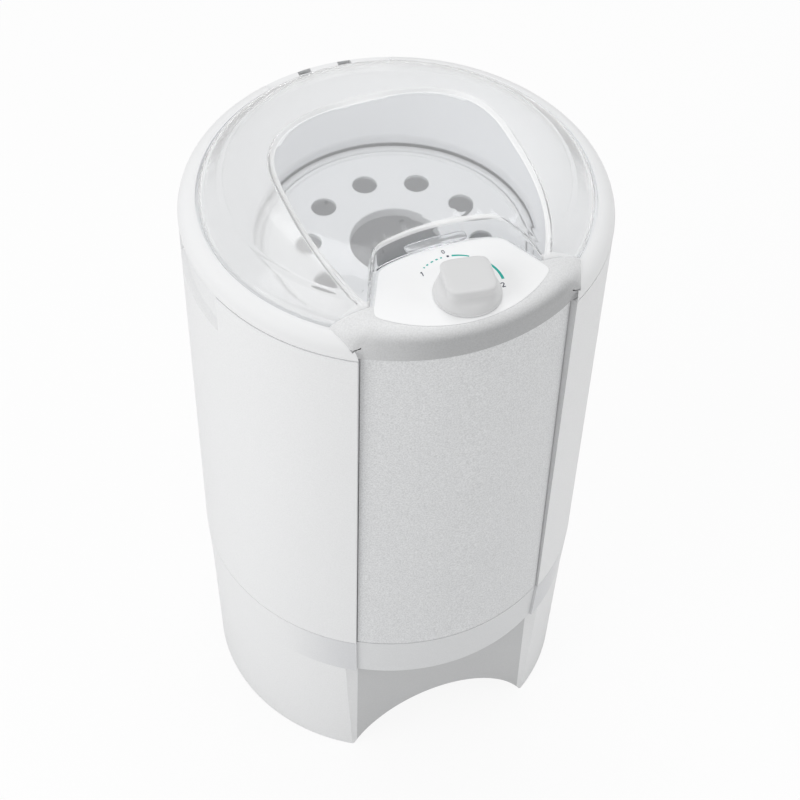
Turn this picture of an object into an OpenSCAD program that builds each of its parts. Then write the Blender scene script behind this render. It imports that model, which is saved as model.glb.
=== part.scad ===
// Top-loading laundry spin dryer, free standing, with a clear hinged lid.
// Front is -Y, up is +Z, and the origin is the middle of the footprint on the floor.
// Every angle called az is measured from the front, positive towards +X.

/* [Cabinet] */
// Radius of the cabinet at the seam under the top ring
seam_r = 195; // [190:1:205]
// How much smaller the radius is at the seam above the base
taper = 3.9; // [2:0.1:6]
// Height of the seam under the top ring
seam_z = 618.5; // [600:0.5:660]
// Height of the seam above the base
waist_z = 200.7; // [190:0.1:230]
// Wall of the moulded casing parts
wall = 3; // [2:0.1:4]
// Shadow gap between the casing parts
seam_gap = 0.6; // [0.3:0.1:1.5]
// Overlap of the casing parts inside each seam
spigot_h = 11; // [6:1:20]

/* [Front panel] */
// Half of the angle that the front panel covers
panel_half = 31; // [26:0.5:34]
// Depth of the front panel's face behind the seam under the ring
panel_sink = 6.5; // [5:0.1:8]
// Thickness of the front panel
panel_t = 3; // [2:0.1:4]

/* [Side grips] */
// Half of the angle that a side grip covers
grip_half = 16; // [10:1:20]
// Height of a side grip
grip_h = 44; // [30:1:60]
// Depth of a side grip under the ring
grip_d = 13; // [8:1:15]

/* [Base] */
// Height of the band between the shoulder of the base and the seam
band_h = 51.9; // [41:0.1:56]
// How far the base steps in at that shoulder
shoulder_in = 3; // [1:0.1:5]
// How much smaller the base is at the floor than at the shoulder
base_draft = 4.5; // [2:0.1:7]
// Depth of the flat that is cut off the front of the base
front_cut = 33.1; // [28:0.1:38]
// Width of the toe left on each side of the front arch
arch_toe = 1.4; // [1:0.1:16]
// Height of the front arch
arch_rise = 59; // [40:1:80]
// Drop from the shoulder to the deck that carries the drive
deck_drop = 8.8; // [5:0.1:12]
// Thickness of that deck
deck_t = 4; // [3:0.5:6]
// Radius of the motor hole in the deck
deck_hole_r = 78; // [74:1:84]
// Width of the ledge that carries the deck
ledge_w = 7; // [5:0.5:8]
// Number of ribs under the deck
ribs = 6; // [6:6:12]
// Height of those ribs
rib_h = 24; // [12:1:30]
// Radius of a rubber foot
foot_r = 12; // [8:0.5:13]
// Height of a rubber foot
foot_h = 9; // [6:0.5:12]
// How far a foot stands out under the base
foot_out = 1.2; // [0.8:0.1:3]
// Distance of the feet's circle inside the edge at the floor
foot_in = 17.6; // [16:0.1:20]
// Radius of the cord inlet in the back of the base
gland_r = 8; // [5:0.5:10]
// Drop from the deck to the cord inlet
gland_drop = 48; // [35:1:70]

/* [Top ring] */
// Radius of the rolled edge of the ring
roll_r = 16.5; // [15.5:0.1:17]
// Distance from the seam in to the channel that the lid drops into
channel_in = 16.3; // [15.5:0.1:17]
// Width of the ledge that carries the lid
ledge_in = 7.2; // [6:0.1:10]
// Height of that ledge above the seam
ledge_up = 12; // [11:0.1:12.5]
// How much wider the neck is than the mouth of the basket
neck_over = 1; // [0.4:0.1:3]
// Drop from the ledge to the lower edge of the neck
neck_drop = 52.8; // [51:0.1:54]

/* [Console] */
// Height of the flat top of the console above the seam
console_up = 30.9; // [28.5:0.1:32.5]
// Radius of the curve along the front of the control label
label_front_r = 113; // [105:1:120]
// Distance from the seam in to the front of the label
label_in = 11.5; // [11:0.1:15]
// Length of the label from front to back
label_l = 91.5; // [84:0.5:93]
// Radius of the curve along the back of the label
label_back_r = 185; // [150:5:300]
// Angle of the two sides of the label
label_side_a = 26; // [20:1:30]
// Half of the width of the label on the axis line
label_side_x = 6.85; // [4:0.1:9]
// Thickness of the label
label_t = 0.6; // [0.4:0.1:1.2]
// How far the front of the console lies behind the seam
console_in = 5; // [4:0.1:6]
// Half of the angle that the foot of the console covers
console_a = 32.3; // [31.5:0.1:33]
// Sideways run of the crease beside the console
crease_dx = 27.2; // [24:0.1:30]
// Forward run of that crease
crease_dy = 63.15; // [60:0.05:70]

/* [Lid] */
// Wall of the clear lid
lid_t = 2.5; // [2:0.1:3]
// Gap between the lid and the wall of its channel
lid_gap = 2.7; // [2:0.1:3.7]
// Height of the crease where the dome starts, above the ledge
crease_up = 26.3; // [24.5:0.1:27.5]
// Width of the band between the lid's rim and that crease
band_w = 22.3; // [20:0.1:26]
// Rise of the dome above the crease
dome_h = 14; // [11:0.1:16]
// Depth of the window in the dome
window_d = 3.5; // [2.6:0.1:5]
// Width of the dome beside the window
window_side = 46.7; // [42:0.1:54]
// Width of the dome behind the window
window_back = 63.7; // [54:0.1:74]
// Gap between the lid's cut-out and the label
notch_gap = 9; // [7:0.5:11]
// Depth of the lip round the cut-out
lip_h = 9; // [6:0.5:12]
// Width of the finger tab
tab_w = 56; // [40:1:70]
// Length of the finger tab
tab_l = 11; // [6:0.5:11]
// Distance from the seam in to the hinge pins
hinge_in = 11.5; // [11:0.1:12]
// Height of the hinge pins above the seam
hinge_up = 8.5; // [8.1:0.1:8.9]
// Radius of the hinge pins
hinge_pin_r = 1.6; // [1.2:0.1:2]
// Radius of the hinge eyes
hinge_eye_r = 4; // [3.6:0.1:4.2]
// Distance of each hinge from the middle
hinge_x = 20; // [18:0.5:21]
// Width of the eye on the lid
hinge_w = 12; // [8:0.5:12.5]
// Width of each hinge eye on the ring
eye_w = 7; // [5:0.5:7]
// Width of the flat behind the lid that its rim swings over
swing_w = 124; // [120:1:130]
// Depth of that flat under the top of the ring
swing_d = 4.3; // [4.3:0.1:4.6]

/* [Basket] */
// Gap between the basket and the tub
basket_gap = 14; // [9:0.5:20]
// Sheet of the basket
sheet = 1.2; // [0.8:0.1:2]
// Height of the basket floor above the tub floor
basket_up = 34; // [32:0.5:38]
// How far the basket is rolled in at its mouth
mouth_in = 23; // [21:0.5:26]
// Drop from the neck to the mouth of the basket
mouth_drop = 11.7; // [10.7:0.1:14]
// Radius of a hole in the basket wall
drain_hole_r = 3; // [2:0.5:4]
// Holes round the basket, in each row
hole_columns = 18; // [12:2:22]
// Rows of holes
hole_rows = 7; // [4:1:9]

/* [Basket cover] */
// How much smaller the loose cover is than the mouth
cover_in = 6.2; // [5.5:0.1:9]
// Thickness of the cover
cover_t = 2.8; // [2:0.1:3.5]
// Height of the rim of the cover
cover_rim_h = 6.1; // [5:0.1:7]
// Number of round holes in the cover
cover_holes = 10; // [6:1:12]
// Radius of each round hole
cover_hole_r = 11.75; // [8:0.25:14]
// Radius of the circle of holes
cover_circle_r = 78.6; // [74:0.2:84]
// Radius of the finger hole in the middle
cover_centre_r = 41.6; // [30:0.2:46]

/* [Tub] */
// Distance from the seam in to the tub
tub_gap = 32; // [30:0.5:37]
// Height of the tub above the deck
tub_up = 40; // [38:0.5:42]
// Drop from the ledge to the tub's upper edge
tub_drop = 38.5; // [36.5:0.5:60]
// Height of the seal on the tub's edge
gasket_h = 5.5; // [4:0.5:7]
// Radius of the collar round the drive
collar_r = 48; // [44:1:54]
// Distance from the tub's wall in to the drain
drain_in = 38; // [33:0.5:45]
// Outer radius of the drain spout
spout_r = 9.5; // [7:0.5:10]
// Height of the lower end of the spout
spout_z = 44; // [36:1:60]

/* [Drive] */
// Radius of the drive shaft
shaft_r = 6; // [5:0.1:7]
// Running clearance of the shaft in its bearings
shaft_fit = 0.05; // [0.02:0.01:0.09]
// Outer radius of a bearing
bearing_r = 16; // [14:0.5:18]
// Width of a bearing
bearing_w = 11; // [8:0.5:12]
// Radius of the motor
motor_r = 62; // [58:1:68]
// Height of the motor under its plate
motor_h = 92; // [84:1:100]
// Radius of the rotor
rotor_r = 36.5; // [32:0.5:40]
// Air gap between the rotor and the stator
air_gap = 0.5; // [0.3:0.1:1]
// Stack length of the rotor and the stator
stack_h = 48; // [36:1:52]
// Height of the motor plate above the deck
plate_up = 32; // [30:0.5:33]
// Thickness of the motor plate
plate_t = 3; // [2:0.5:4]
// Distance from the tub's wall in to the suspension mounts
mount_in = 45; // [41:1:51]
// Radius of a suspension mount
mount_r = 13; // [10:0.5:15]

// Radius of the capacitor
cap_r = 20; // [16:0.5:21]
// Length of the capacitor
cap_l = 70; // [50:1:72]
// Distance from the tub's wall in to the capacitor's middle
cap_in = 31; // [30:0.5:34]

/* [Timer and knob] */
// Sideways place of the knob on the console
knob_x = 3; // [-6:0.5:6]
// Distance from the front of the label in to the knob
knob_in = 32; // [29.5:0.5:35]
// Radius of the foot of the knob
knob_r = 29.4; // [26:0.2:31]
// Height of the knob
knob_h = 22; // [16:0.5:28]
// Width of the square grip of the knob
grip_w = 39; // [32:0.5:42]
// Angle that the grip is turned at rest
grip_turn = -9; // [-20:1:20]
// Radius of the timer body
timer_r = 21; // [16:0.5:22]
// Height of the timer body
timer_h = 32; // [24:1:33]

/* [Hidden] */
$fn = 96;

fit = 0.3;              // clearance between pieces that are only laid together
eps = 0.01;             // overlap that fuses two shapes of one piece
far = 400;              // reach of a cutting shape, past the whole casing
white = [0.93, 0.93, 0.94];
light_grey = [0.80, 0.81, 0.82];
rubber = [0.13, 0.13, 0.14];
steel = [0.70, 0.71, 0.73];
zinc = [0.78, 0.78, 0.74];
copper = [0.72, 0.43, 0.22];
clear = [0.85, 0.90, 0.92, 0.35];

waist_r = seam_r - taper;
shoulder_z = waist_z - band_h;
shoulder_r = waist_r - shoulder_in;
floor_r = shoulder_r - base_draft;
front_y = shoulder_r - front_cut;
arch_half = sqrt(floor_r * floor_r - front_y * front_y) - arch_toe;
deck_z = shoulder_z - deck_drop;
foot_circle_r = floor_r - foot_in;
gland_z = deck_z - gland_drop;
panel_r = seam_r - panel_sink;
channel_r = seam_r - channel_in;
ledge_r = channel_r - ledge_in;
ledge_z = seam_z + ledge_up;
console_z = seam_z + console_up;
console_r = seam_r - console_in;
label_front_y = seam_r - label_in;
label_back_y = label_front_y - label_l;
lid_r = channel_r - lid_gap;
crease_r = lid_r - band_w;
crease_z = ledge_z + crease_up;
crown_z = crease_z + dome_h;
window_x = crease_r - window_side;
window_y = crease_r - window_back;
hinge_y = seam_r - hinge_in;
hinge_z = seam_z + hinge_up;
tub_r = seam_r - tub_gap;
tub_z = deck_z + tub_up;
tub_top_z = ledge_z - tub_drop;
drain_y = tub_r - drain_in;
basket_r = tub_r - basket_gap;
basket_z = tub_z + basket_up;
mouth_r = basket_r - mouth_in;
neck_r = mouth_r + neck_over;
neck_z = ledge_z - neck_drop;
mouth_z = neck_z - mouth_drop;
cover_r = mouth_r - cover_in;
plate_z = deck_z + plate_up;
mount_circle_r = tub_r - mount_in;
cap_circle_r = tub_r - cap_in;
knob_y = label_front_y - knob_in;

roll_c = [seam_r + 0.2 - roll_r, seam_z + 1.8];   // centre of the ring's rolled edge
ring_z = seam_z + fit;                            // underside of the ring
funnel_drop = ledge_r - neck_r;                   // the funnel falls at 45 degrees
label_o = [0, -(label_front_y + label_back_y) / 2];
notch_y = -label_o[1];                            // where the lid ends in front
crease_y = notch_y - 1.4;                         // where the creases beside the console start
crease_top = [sqrt(pow(channel_r - 1.1, 2) - crease_y * crease_y), -crease_y];
notch_side = notch_gap - 5;                       // the lid hugs the console's sides closer
panel_seat_r = panel_r - panel_t - fit;
gasket_z = tub_top_z + gasket_h + fit;            // where the ring's skirt meets the seal
cover_seat_z = mouth_z + 2.2;                     // ledge in the rim that carries the cover
motor_bottom_z = plate_z - motor_h;
housing_z = plate_z + plate_t;
hub_z = housing_z + 26.5;
shaft_top_z = basket_z + 42;
foot_az = [40, 140, 220, 320];
mount_az = [60, 180, 300];

// A point at radius r and azimuth a.
function polar(r, a) = [r * sin(a), -r * cos(a)];
// Points on an arc round c, from angle a0 to a1.
function arc(c, r, a0, a1, n) = [for (i = [0:n]) let (a = a0 + (a1 - a0) * i / n) c + r * [cos(a), sin(a)]];
// Points on an arc round the axis, from azimuth a0 to a1.
function az_arc(r, a0, a1, n) = [for (i = [0:n]) polar(r, a0 + (a1 - a0) * i / n)];
// Distance from o along the unit vector d to the circle (c, r) that o lies in.
function to_circle(o, d, c, r) = let (m = o - c, b = m * d) -b + sqrt(b * b - m * m + r * r);
// Distance from o along d to the line n * p = k, or a long way where d points off it.
function to_line(o, d, n, k) = let (s = n * d) s > 0.02 ? (k - n * o) / s : 50 * (k - n * o);
// Smooth minimum: the corner between two bounds comes out rounded.
function soft_min(v, p) = pow([for (x = v) pow(x, -p)] * [for (x = v) 1], -1 / p);
// Outline of the control label, grown by g in front and behind and by s at the sides.
function label_outline(g, s, n = 64) = [for (i = [0:n - 1])
    let (a = 360 * i / n, d = [cos(a), sin(a)], c = cos(label_side_a), t = sin(label_side_a))
    label_o + d * soft_min([
        to_circle(label_o, d, [0, label_front_r - label_front_y], label_front_r + g),
        to_circle(label_o, d, [0, -label_back_y - label_back_r], label_back_r + g),
        to_line(label_o, d, [c, t], label_side_x + s),
        to_line(label_o, d, [-c, t], label_side_x + s)], 14)];
// Outline of the lid's window: a superellipse behind, drawn in towards the console in front.
function window_outline(g, n = 72) = [for (i = [0:n - 1])
    let (a = 360 * i / n, x = cos(a), y = sin(a), e = 2 / 2.7,
        px = sign(x) * pow(abs(x), e), py = sign(y) * pow(abs(y), e),
        draw = py < 0 ? 1 - 0.26 * py * py : 1)
    [px * (window_x + g) * draw, py > 0 ? py * (window_y + g) : py * (notch_y + g)]];

// Everything between azimuths -h and h, as a tall wedge turned to az.
module wedge(h, az = 0) {
    rotate([0, 0, az])
        translate([0, 0, -eps])
            linear_extrude(far * 2)
                polygon(concat([[0, 0]], az_arc(far, -h, h, 8)));
}

module slab(z, h, points) {
    translate([0, 0, z]) linear_extrude(h) polygon(points);
}

module tube(r_out, r_in, z, h) {
    translate([0, 0, z]) difference() {
        cylinder(r = r_out, h = h);
        translate([0, 0, -1]) cylinder(r = r_in, h = h + 2);
    }
}

// ---------------------------------------------------------------- base

// Solid outer form of the base, drawn in by g.
module base_form(g) {
    difference() {
        rotate_extrude()
            polygon([[0, foot_out - g], [floor_r - g, foot_out - g], [shoulder_r - g, shoulder_z],
                [waist_r - g, waist_z + g], [0, waist_z + g]]);
        // the front strip of the shoulder lies back like the panel above it
        intersection() {
            wedge(panel_half + (g > 0 ? 1 : 0));
            rotate_extrude()
                polygon([[panel_r - 3.5 - g, shoulder_z - 1], [panel_r - g, waist_z + wall + 1],
                    [far, waist_z + wall + 1], [far, shoulder_z - 1]]);
        }
        // below the shoulder the front is a flat face
        translate([-far, -far, -far])
            cube([far * 2, far - front_y + g, far + shoulder_z + g]);
    }
}

module base() {
    arch_r = (arch_half * arch_half + arch_rise * arch_rise) / (2 * arch_rise);
    color(white) difference() {
        union() {
            difference() {
                base_form(0);
                base_form(wall);
            }
            // spigot that the cabinet sits over
            difference() {
                tube(waist_r - wall - fit, waist_r - 2 * wall - fit, waist_z - 9, 9 + spigot_h);
                wedge(panel_half + 2);
            }
            // ring that carries the spigot
            intersection() {
                base_form(1);
                rotate_extrude()
                    polygon([[waist_r - 2 * wall - fit, waist_z - 9], [waist_r, waist_z - 4],
                        [waist_r, waist_z], [waist_r - 2 * wall - fit, waist_z]]);
            }
            // ledge that carries the deck
            intersection() {
                difference() {
                    base_form(wall - eps);
                    base_form(wall + ledge_w);
                }
                tube(far, 1, deck_z - deck_t - 5, 5);
            }
            // sockets of the feet
            intersection() {
                base_form(0);
                for (a = foot_az)
                    translate(concat(polar(foot_circle_r, a), foot_out))
                        cylinder(r = foot_r + wall, h = foot_h + 16);
            }
            // flat boss round the cord inlet
            intersection() {
                translate([0, floor_r - wall - 1, gland_z])
                    rotate([-90, 0, 0]) cylinder(r = gland_r + 6, h = wall + 5);
                translate([-far, 0, 0]) cube([far * 2, shoulder_r, far]);
            }
        }
        // arch in the front wall
        translate([0, -front_y + wall + 1, arch_rise - arch_r])
            rotate([90, 0, 0]) cylinder(r = arch_r, h = 60, $fn = 160);
        for (a = foot_az)
            translate(concat(polar(foot_circle_r, a), -1))
                cylinder(r = foot_r + fit, h = foot_h + 1 + fit);
        translate([0, floor_r - 3 * wall, gland_z])
            rotate([-90, 0, 0]) cylinder(r = gland_r, h = far);
    }
}

// Moulded deck that stands on the ledge in the base and carries the tub and the motor.
module drive_deck() {
    spout_hole_r = spout_r + 3;
    color(light_grey) difference() {
        union() {
            intersection() {
                base_form(wall + fit);
                union() {
                    tube(far, deck_hole_r, deck_z - deck_t, deck_t);
                    for (i = [0:ribs - 1])
                        rotate([0, 0, i * 360 / ribs])
                            translate([deck_hole_r + 1, -wall / 2, deck_z - deck_t - rib_h])
                                cube([tub_r - deck_hole_r, wall, rib_h + 1]);
                }
            }
            tube(deck_hole_r + wall, deck_hole_r, deck_z - deck_t - 14, 15);
            // posts that carry the tub
            for (i = [0:5])
                rotate([0, 0, i * 60])
                    translate([tub_r - 22, -7, deck_z - 1])
                        cube([20, 14, tub_z - deck_z + 1 - fit]);
            // bosses under the suspension mounts
            for (a = mount_az)
                translate(concat(polar(mount_circle_r, a), deck_z - 1))
                    cylinder(r = mount_r + 1, h = 11);
            // collar round the drain spout
            translate([0, -drain_y, deck_z - deck_t - 10])
                cylinder(r = spout_hole_r + wall, h = 12);
        }
        translate([0, -drain_y, 0]) cylinder(r = spout_hole_r, h = far);
        for (a = mount_az)
            translate(concat(polar(mount_circle_r, a), deck_z - deck_t - 1))
                cylinder(r = 3.2, h = deck_t + 13);
    }
}

module rubber_feet() {
    color(rubber) for (a = foot_az)
        translate(concat(polar(foot_circle_r, a), 0)) rotate_extrude()
            polygon([[0, 0], [foot_r - 1.5, 0], [foot_r, 1.5], [foot_r, foot_h], [4, foot_h],
                [4, foot_h - 3], [0, foot_h - 3]]);
}

// ---------------------------------------------------------------- cabinet

// Scoop under the ring on both sides, as deep as d.
module grip_scoops(d, half) {
    intersection() {
        union() {
            wedge(half, 90);
            wedge(half, 270);
        }
        rotate_extrude()
            polygon([[seam_r - d, seam_z + 5], [seam_r - d, seam_z - grip_h * 0.28],
                [seam_r - d * 0.8, seam_z - grip_h * 0.55], [seam_r - d * 0.42, seam_z - grip_h * 0.83],
                [seam_r + 5 - d + grip_d, seam_z - grip_h - 5 - d + grip_d], [far, seam_z - grip_h],
                [far, seam_z + 5]]);
    }
}

// Solid outer form of the cabinet, drawn in by g.
module cabinet_form(g) {
    over = g > 0 ? 1 : 0;
    difference() {
        translate([0, 0, waist_z + seam_gap - over])
            cylinder(r1 = waist_r - g, r2 = seam_r - g, h = seam_z - waist_z - seam_gap + 2 * over);
        intersection() {
            wedge(panel_half + over);
            tube(far, panel_seat_r - g, 0, far * 2);
        }
        grip_scoops(grip_d + g, grip_half + over);
    }
}

module cabinet() {
    color(white) difference() {
        cabinet_form(0);
        cabinet_form(wall);
    }
}

module front_panel() {
    color(light_grey) intersection() {
        wedge(panel_half - 0.2);
        rotate_extrude()
            polygon([[panel_r - panel_t, waist_z + seam_gap], [panel_r - 1, waist_z + seam_gap],
                [panel_r, waist_z + seam_gap + 1], [panel_r, seam_z - fit],
                [panel_r - panel_t, seam_z - fit]]);
    }
}

// ---------------------------------------------------------------- top ring

module ring_wall() {
    inner_arc_r = roll_r - wall;
    lip_r = channel_r + wall;
    lip_a = acos((lip_r - roll_c[0]) / inner_arc_r);
    in_r = seam_r - 2 * wall - fit;
    in_a = acos((in_r - roll_c[0]) / inner_arc_r);
    rotate_extrude()
        polygon(concat(
            [[seam_r + 0.2, ring_z]],
            arc(roll_c, roll_r, 0, acos((channel_r - roll_c[0]) / roll_r), 10),
            [[channel_r, ledge_z], [ledge_r, ledge_z], [ledge_r, ledge_z - wall],
                [lip_r, ledge_z - wall]],
            arc(roll_c, inner_arc_r, lip_a, in_a, 8),
            [[in_r, ring_z - spigot_h], [seam_r - wall - fit, ring_z - spigot_h],
                [seam_r - wall - fit, ring_z]]));
}

// Foot of the console: it lies back from the rolled edge between two swept creases.
function console_foot(g) = concat(
    [[fit + g - crease_top[0], -notch_y - 0.5 - g * 0.3]],
    az_arc(console_r - g, g * 0.3 - console_a, console_a - g * 0.3, 20),
    [[crease_top[0] - fit - g, -notch_y - 0.5 - g * 0.3], [60 - g, -label_back_y - 2 - g],
        [-60 + g, -label_back_y - 2 - g]]);

// Floor of the timer well in the console.
function well_floor(g) = concat(az_arc(tub_r + 5 - g, -26, 26, 10),
    [[62 - g, -label_back_y - 26 - g], [-62 + g, -label_back_y - 26 - g]]);

// Body of the console, drawn in by g.
module console_form(g) {
    top = console_z - g;
    hull() {
        slab(top - 1, 1, label_outline(0.8 - g, 1 - g));
        slab(top - 1.9, 1, label_outline(3 - g, 2.6 - g));
        slab(top - 4, 1, label_outline(4.6 - g, 3.6 - g));
        slab(top - 7.4, 1, label_outline(5.4 - g, 4.2 - g));
        slab(ledge_z + 5, 1, console_foot(g));
        slab(ring_z - (g > 0 ? 1 : 0), 1, console_foot(g));
    }
    hull() {
        slab(ring_z + 3, 1, concat(az_arc(seam_r - 2 * wall - 6 - g, -30, 30, 12),
            [[72 - g, -label_back_y - 12 - g], [-72 + g, -label_back_y - 12 - g]]));
        slab(gasket_z + g, 1, well_floor(g));
    }
}

// Blocks at the back of the ring, w wide, as far back as y: the places of the two hinges.
module hinge_sites(w, y) {
    for (s = [-1, 1])
        translate([s * hinge_x - w / 2, tub_r, 0]) cube([w, y - tub_r, far * 2]);
}

module top_ring() {
    pocket_w = hinge_w + 1 + 2 * eye_w;
    pocket_z = hinge_z - hinge_eye_r - 0.5;
    pocket_y = hinge_y + hinge_eye_r + 2.2;
    crease_end = crease_top - [crease_dx, crease_dy];
    crease = [crease_top, crease_end, [-crease_end[0], crease_end[1]],
        [-crease_top[0], crease_top[1]]];
    color(white) difference() {
        union() {
            difference() {
                ring_wall();
                // the rolled edge stops at the two creases beside the console
                difference() {
                    slab(ring_z - spigot_h - 1, far, crease);
                    cylinder(r = ledge_r + 3, h = far * 2);
                }
            }
            console_form(0);
            // walls and floor of the hinge pockets
            intersection() {
                hinge_sites(pocket_w + 2 * wall, far);
                rotate_extrude()
                    polygon(concat([[channel_r - wall, ring_z], [seam_r - 1, ring_z]],
                        arc(roll_c, roll_r - 0.5, 0, 60, 6), [[channel_r - wall, ledge_z]]));
            }
        }
        console_form(wall);
        // channel that the lid's rim runs in, up to the front ends of the lid
        difference() {
            tube(channel_r, ledge_r, ledge_z, far);
            translate([-far, -far - notch_y - 0.5, 0]) cube([far * 2, far, far * 2]);
        }
        // hinge pockets
        intersection() {
            hinge_sites(pocket_w, pocket_y);
            tube(far, channel_r - eps, pocket_z, far);
        }
        // flat behind the lid that its rim swings over
        intersection() {
            translate([-swing_w / 2, tub_r, 0]) cube([swing_w, far, far * 2]);
            tube(far, channel_r - eps, roll_c[1] + roll_r - swing_d, far);
        }
        // hole for the timer shaft
        translate([knob_x, -knob_y, ledge_z]) cylinder(r = 6, h = far);
        // the spigot gives way to the side grips
        intersection() {
            union() {
                wedge(grip_half + 1.5, 90);
                wedge(grip_half + 1.5, 270);
            }
            tube(far, seam_r - grip_d - 1, ring_z - spigot_h - 1, spigot_h + 1);
        }
    }
    // eyes that hold the hinge pins
    color(white) for (s = [-1, 1], t = [-1, 1])
        translate([s * hinge_x + t * (hinge_w + 1 + eye_w) / 2 - eye_w / 2, hinge_y, hinge_z])
            rotate([90, 0, 90]) difference() {
                union() {
                    cylinder(r = hinge_eye_r, h = eye_w);
                    translate([-hinge_eye_r, -hinge_eye_r - 1, 0])
                        cube([2 * hinge_eye_r, hinge_eye_r + 1, eye_w]);
                }
                translate([0, 0, -1]) cylinder(r = hinge_pin_r + 0.02, h = eye_w + 2);
            }
}

// Funnel and neck: hooked under the ledge, it throws drips back into the tub, and its skirt
// presses the seal on the tub's edge.
module funnel() {
    low_z = ledge_z - wall - 2;
    slope_z = ledge_z - funnel_drop;
    skirt_r = tub_r - 1.5;
    hook_r = channel_r - wall - fit;
    under_z = slope_z + skirt_r - neck_r;
    color(white) difference() {
        rotate_extrude()
            polygon([[ledge_r - eps, ledge_z - eps], [neck_r, slope_z], [neck_r, neck_z],
                [neck_r + wall, neck_z], [neck_r + wall, slope_z - wall * 0.4],
                [skirt_r, under_z - wall * 1.4], [skirt_r, gasket_z],
                [skirt_r + wall + 3, gasket_z], [skirt_r + wall + 3, low_z],
                [hook_r, low_z], [hook_r, ledge_z - wall], [ledge_r - eps, ledge_z - wall]]);
        console_form(-fit);
    }
}

module control_label() {
    color([0.97, 0.97, 0.97]) difference() {
        slab(console_z, label_t, label_outline(0, 0));
        translate([knob_x, -knob_y, console_z - 1]) cylinder(r = 6, h = 4);
    }
}

// ---------------------------------------------------------------- lid

// Height of the dome's outer surface at radius r.
function dome_z(r) = crease_z + (crown_z - crease_z) * (1 - pow(r / crease_r, 10));
// Radii at which the dome's profile has a point, from the crease to the middle.
dome_radii = concat([for (i = [0:6]) crease_r * cos(i * 7.5)], [0]);

// Solid under the lid's outer surface, shrunk by g at the rim and lowered by down.
module lid_solid(g, down) {
    over = g > 0 ? 1 : 0;
    rotate_extrude()
        polygon(concat([[0, ledge_z + fit - over], [lid_r - g, ledge_z + fit - over],
                [lid_r - g, ledge_z + 8.3 - down], [lid_r - 1 - g, ledge_z + 10.3 - down],
                [lid_r - 3.5 - g, ledge_z + 12 - down],
                [crease_r + 3, crease_z - 1.4 - down]],
            [for (r = dome_radii) [r, dome_z(r) - down]]));
}

// Plan of the cut-out over the console, grown by g: its rounded back, then straight out to both sides.
module lid_notch(g, n = 48) {
    pts = label_outline(notch_gap + g, notch_side + g, n);
    y = label_o[1] + g;
    slab(ledge_z - 5, far, concat([for (i = [1:n / 2 - 1]) pts[i]],
        [[-far, y], [-far, -far], [far, -far], [far, y]]));
}

// Everything over the lid's surface lowered by down, inside the prism that is the child.
module above_lid(g, down) {
    difference() {
        children();
        lid_solid(g, down);
    }
}

module lid() {
    color(clear) difference() {
        union() {
            difference() {
                lid_solid(0, 0);
                // sunken window
                above_lid(0, window_d) slab(ledge_z + 10, far, window_outline(0));
                // hollow under the lid, less the step round the window and the lip along the cut-out
                difference() {
                    lid_solid(lid_t, lid_t);
                    above_lid(0, window_d + lid_t) slab(ledge_z + 5, far, window_outline(lid_t));
                    above_lid(0, lip_h) lid_notch(lid_t);
                }
                lid_notch(0);
            }
            // finger tab
            translate([-tab_w / 2, -label_back_y + notch_gap - tab_l, crown_z - lip_h])
                cube([tab_w, tab_l + 2, lid_t]);
            // hinge arms
            difference() {
                for (s = [-1, 1])
                    translate([s * hinge_x - hinge_w / 2, 0, 0]) rotate([90, 0, 90])
                        linear_extrude(hinge_w)
                            polygon([[lid_r - 14, ledge_z + fit], [channel_r - 0.5, ledge_z + fit],
                                [hinge_y - 1, hinge_z - hinge_eye_r + 0.1], [hinge_y, hinge_z + hinge_eye_r],
                                [lid_r - 14, hinge_z + hinge_eye_r + 3]]);
                cylinder(r = lid_r - 1, h = far * 2);
            }
            for (s = [-1, 1])
                translate([s * hinge_x - hinge_w / 2, hinge_y, hinge_z]) rotate([0, 90, 0])
                    cylinder(r = hinge_eye_r, h = hinge_w);
        }
        translate([-far, hinge_y, hinge_z]) rotate([0, 90, 0])
            cylinder(r = hinge_pin_r + 0.07, h = far * 2);
    }
}

module hinge_pins() {
    pin_l = hinge_w + 13;
    color(steel) for (s = [-1, 1])
        translate([s * hinge_x - pin_l / 2, hinge_y, hinge_z]) rotate([0, 90, 0])
            cylinder(r = hinge_pin_r, h = pin_l);
}

// ---------------------------------------------------------------- basket

// Perforated wall of the basket, rolled in at the mouth.
module basket() {
    low = basket_z + 6;
    row = (mouth_z - basket_z - 110) / (hole_rows - 1);
    color(steel) difference() {
        rotate_extrude()
            polygon([[basket_r, low], [basket_r, mouth_z - 25.5], [basket_r - 3.5, mouth_z - 18.5],
                [mouth_r + 5, mouth_z - 9.5], [mouth_r, mouth_z - 6], [mouth_r, mouth_z],
                [mouth_r - sheet, mouth_z], [mouth_r - sheet, mouth_z - 6.6],
                [mouth_r + 4.2, mouth_z - 10.6], [basket_r - 4.4, mouth_z - 19.4],
                [basket_r - sheet, mouth_z - 25.9], [basket_r - sheet, low]]);
        for (j = [0:hole_rows - 1], i = [0:hole_columns - 1])
            rotate([90, 0, (i + (j % 2) / 2 + 0.25) * 360 / hole_columns])
                translate([0, basket_z + 40 + j * row, basket_r - 4])
                    cylinder(r = drain_hole_r, h = 8);
    }
}

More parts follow.
